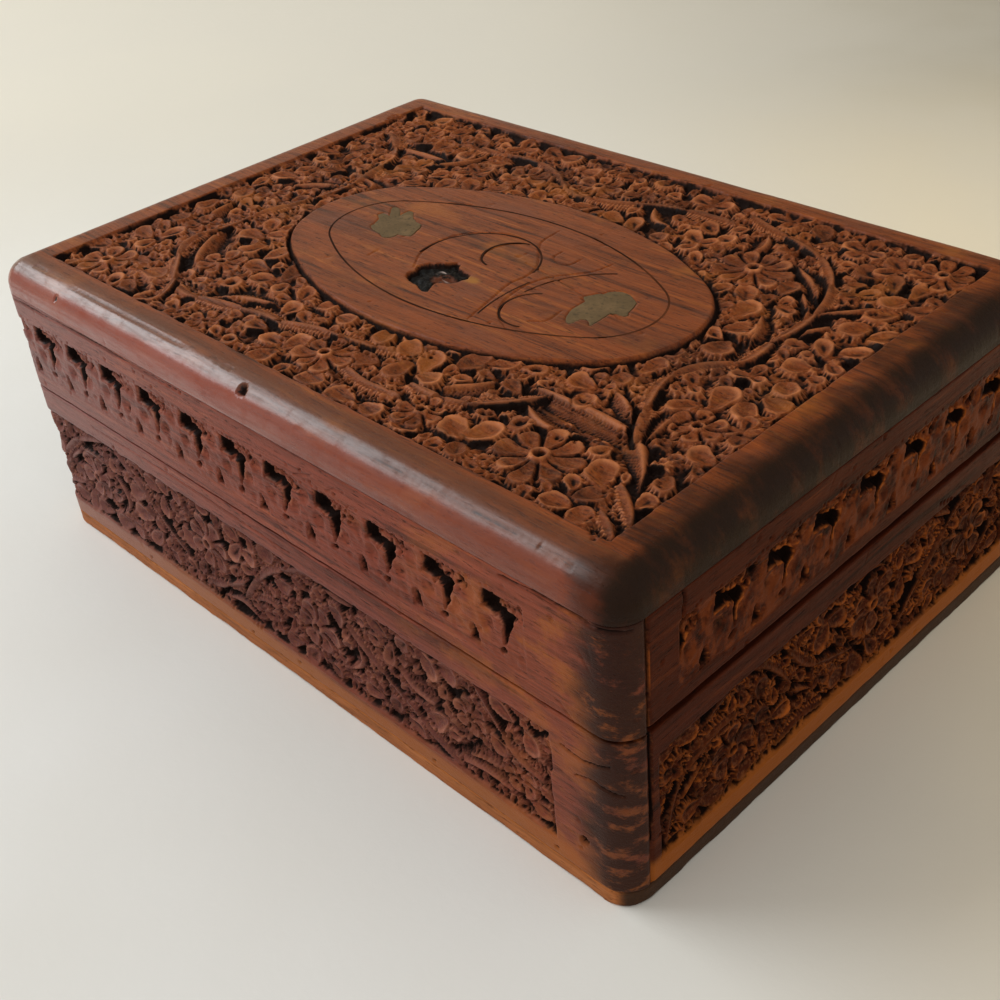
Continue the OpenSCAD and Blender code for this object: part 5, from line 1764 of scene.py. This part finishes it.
# %% [markdown]
# ## Floor and light
# The box stands on a pale cloth-like sheet that sweeps up behind it. One large soft lamp stands
# high at the left, where the light comes from in the photograph, and a pale world fills the
# shadows. The sheet's colour also carries painted light: lighter and warmer in the box's
# shadow at the front right, and painted shade towards the back right.

# %% The floor
AWAY = np.array([-math.sin(HEADING), math.cos(HEADING)])        # away from the camera
BESIDE = np.array([math.cos(HEADING), math.sin(HEADING)])       # to the camera's right


def sweep():
    """A floor that curves up into a backdrop, behind the box as the camera sees it."""
    flat_to, bend, tall, half = 0.75, 0.5, 2.6, 4.0
    profile = [(-2.6, 0.0), (0.0, 0.0)] + [
        (flat_to + bend * math.sin(a), bend * (1 - math.cos(a))) for a in np.linspace(0, math.pi / 2, 24)]
    profile.append((flat_to + bend, tall))
    verts = [(*(AWAY * along + BESIDE * s), height) for along, height in profile
             for s in (-half, half)]
    mesh = bpy.data.meshes.new("floor")
    mesh.from_pydata(verts, [], grid_faces(len(profile), 2))
    mesh.shade_smooth()
    floor = bpy.data.objects.new("floor", mesh)
    bpy.context.collection.objects.link(floor)
    return floor


floor = sweep()
floor_cloth, t, shader = principled("pale floor")
place = t.add("TexCoord", out=3)
soft = t.noise(place, 5.0, 3.0)
behind, beside = (t.add("VectorMath", {0: place, 1: (*way, 0.0)}, out=1, operation="DOT_PRODUCT")
                  for way in (AWAY, BESIDE))
# Painted light on the cloth: lighter and warmer at the front right, in the box's shadow, and painted shade
# darker towards the back right, where the room's light falls off.
near_side_painted_light = t.mix(t.span(beside, -0.02, 0.22), paint(227, 226, 222), paint(246, 229, 194))
far_side_painted_shade = t.mix(t.span(beside, 0.0, 0.45), paint(218, 212, 198), paint(164, 155, 134))
cloth = t.mix(t.span(behind, 0.08, 0.45), near_side_painted_light, far_side_painted_shade)
t.fill(shader["Base Color"], t.mix(t.span(soft, 0.3, 0.7, 0.0, 0.35), cloth, paint(212, 207, 196)))
shader["Roughness"].default_value = 0.75
crease = t.noise(place, 160.0, 5.0, 0.6)
t.fill(shader["Normal"], t.add("Bump", {"Strength": 0.12, "Distance": 0.001, "Height": crease}))
floor.data.materials.append(floor_cloth)

# %% The light
LAMP_WAY = np.array([-0.66, -0.33, 0.67])     # from the box to the lamp
LAMP_FAR, LAMP_SIZE, LAMP_POWER = 1.5, 1.1, 14.0
lamp = bpy.data.objects.new("soft lamp", bpy.data.lights.new("soft lamp", "AREA"))
bpy.context.collection.objects.link(lamp)
lamp.data.shape, lamp.data.size = "DISK", LAMP_SIZE
lamp.data.energy, lamp.data.color = LAMP_POWER, (0.90, 0.955, 1.0)
way = LAMP_WAY / np.linalg.norm(LAMP_WAY)
lamp.location = (way * LAMP_FAR).tolist()
lamp.rotation_euler = (math.acos(way[2]), 0.0, math.atan2(way[1], way[0]) + math.pi / 2)
world = bpy.data.worlds.new("room light")
bpy.context.scene.world = world
world.use_nodes = True
background = world.node_tree.nodes["Background"].inputs
background["Color"].default_value = (1.0, 0.97, 0.92, 1.0)
background["Strength"].default_value = 0.68
bpy.context.scene.view_settings.view_transform = "Standard"
print("lamp", LAMP_POWER, "W at", LAMP_FAR, "m")
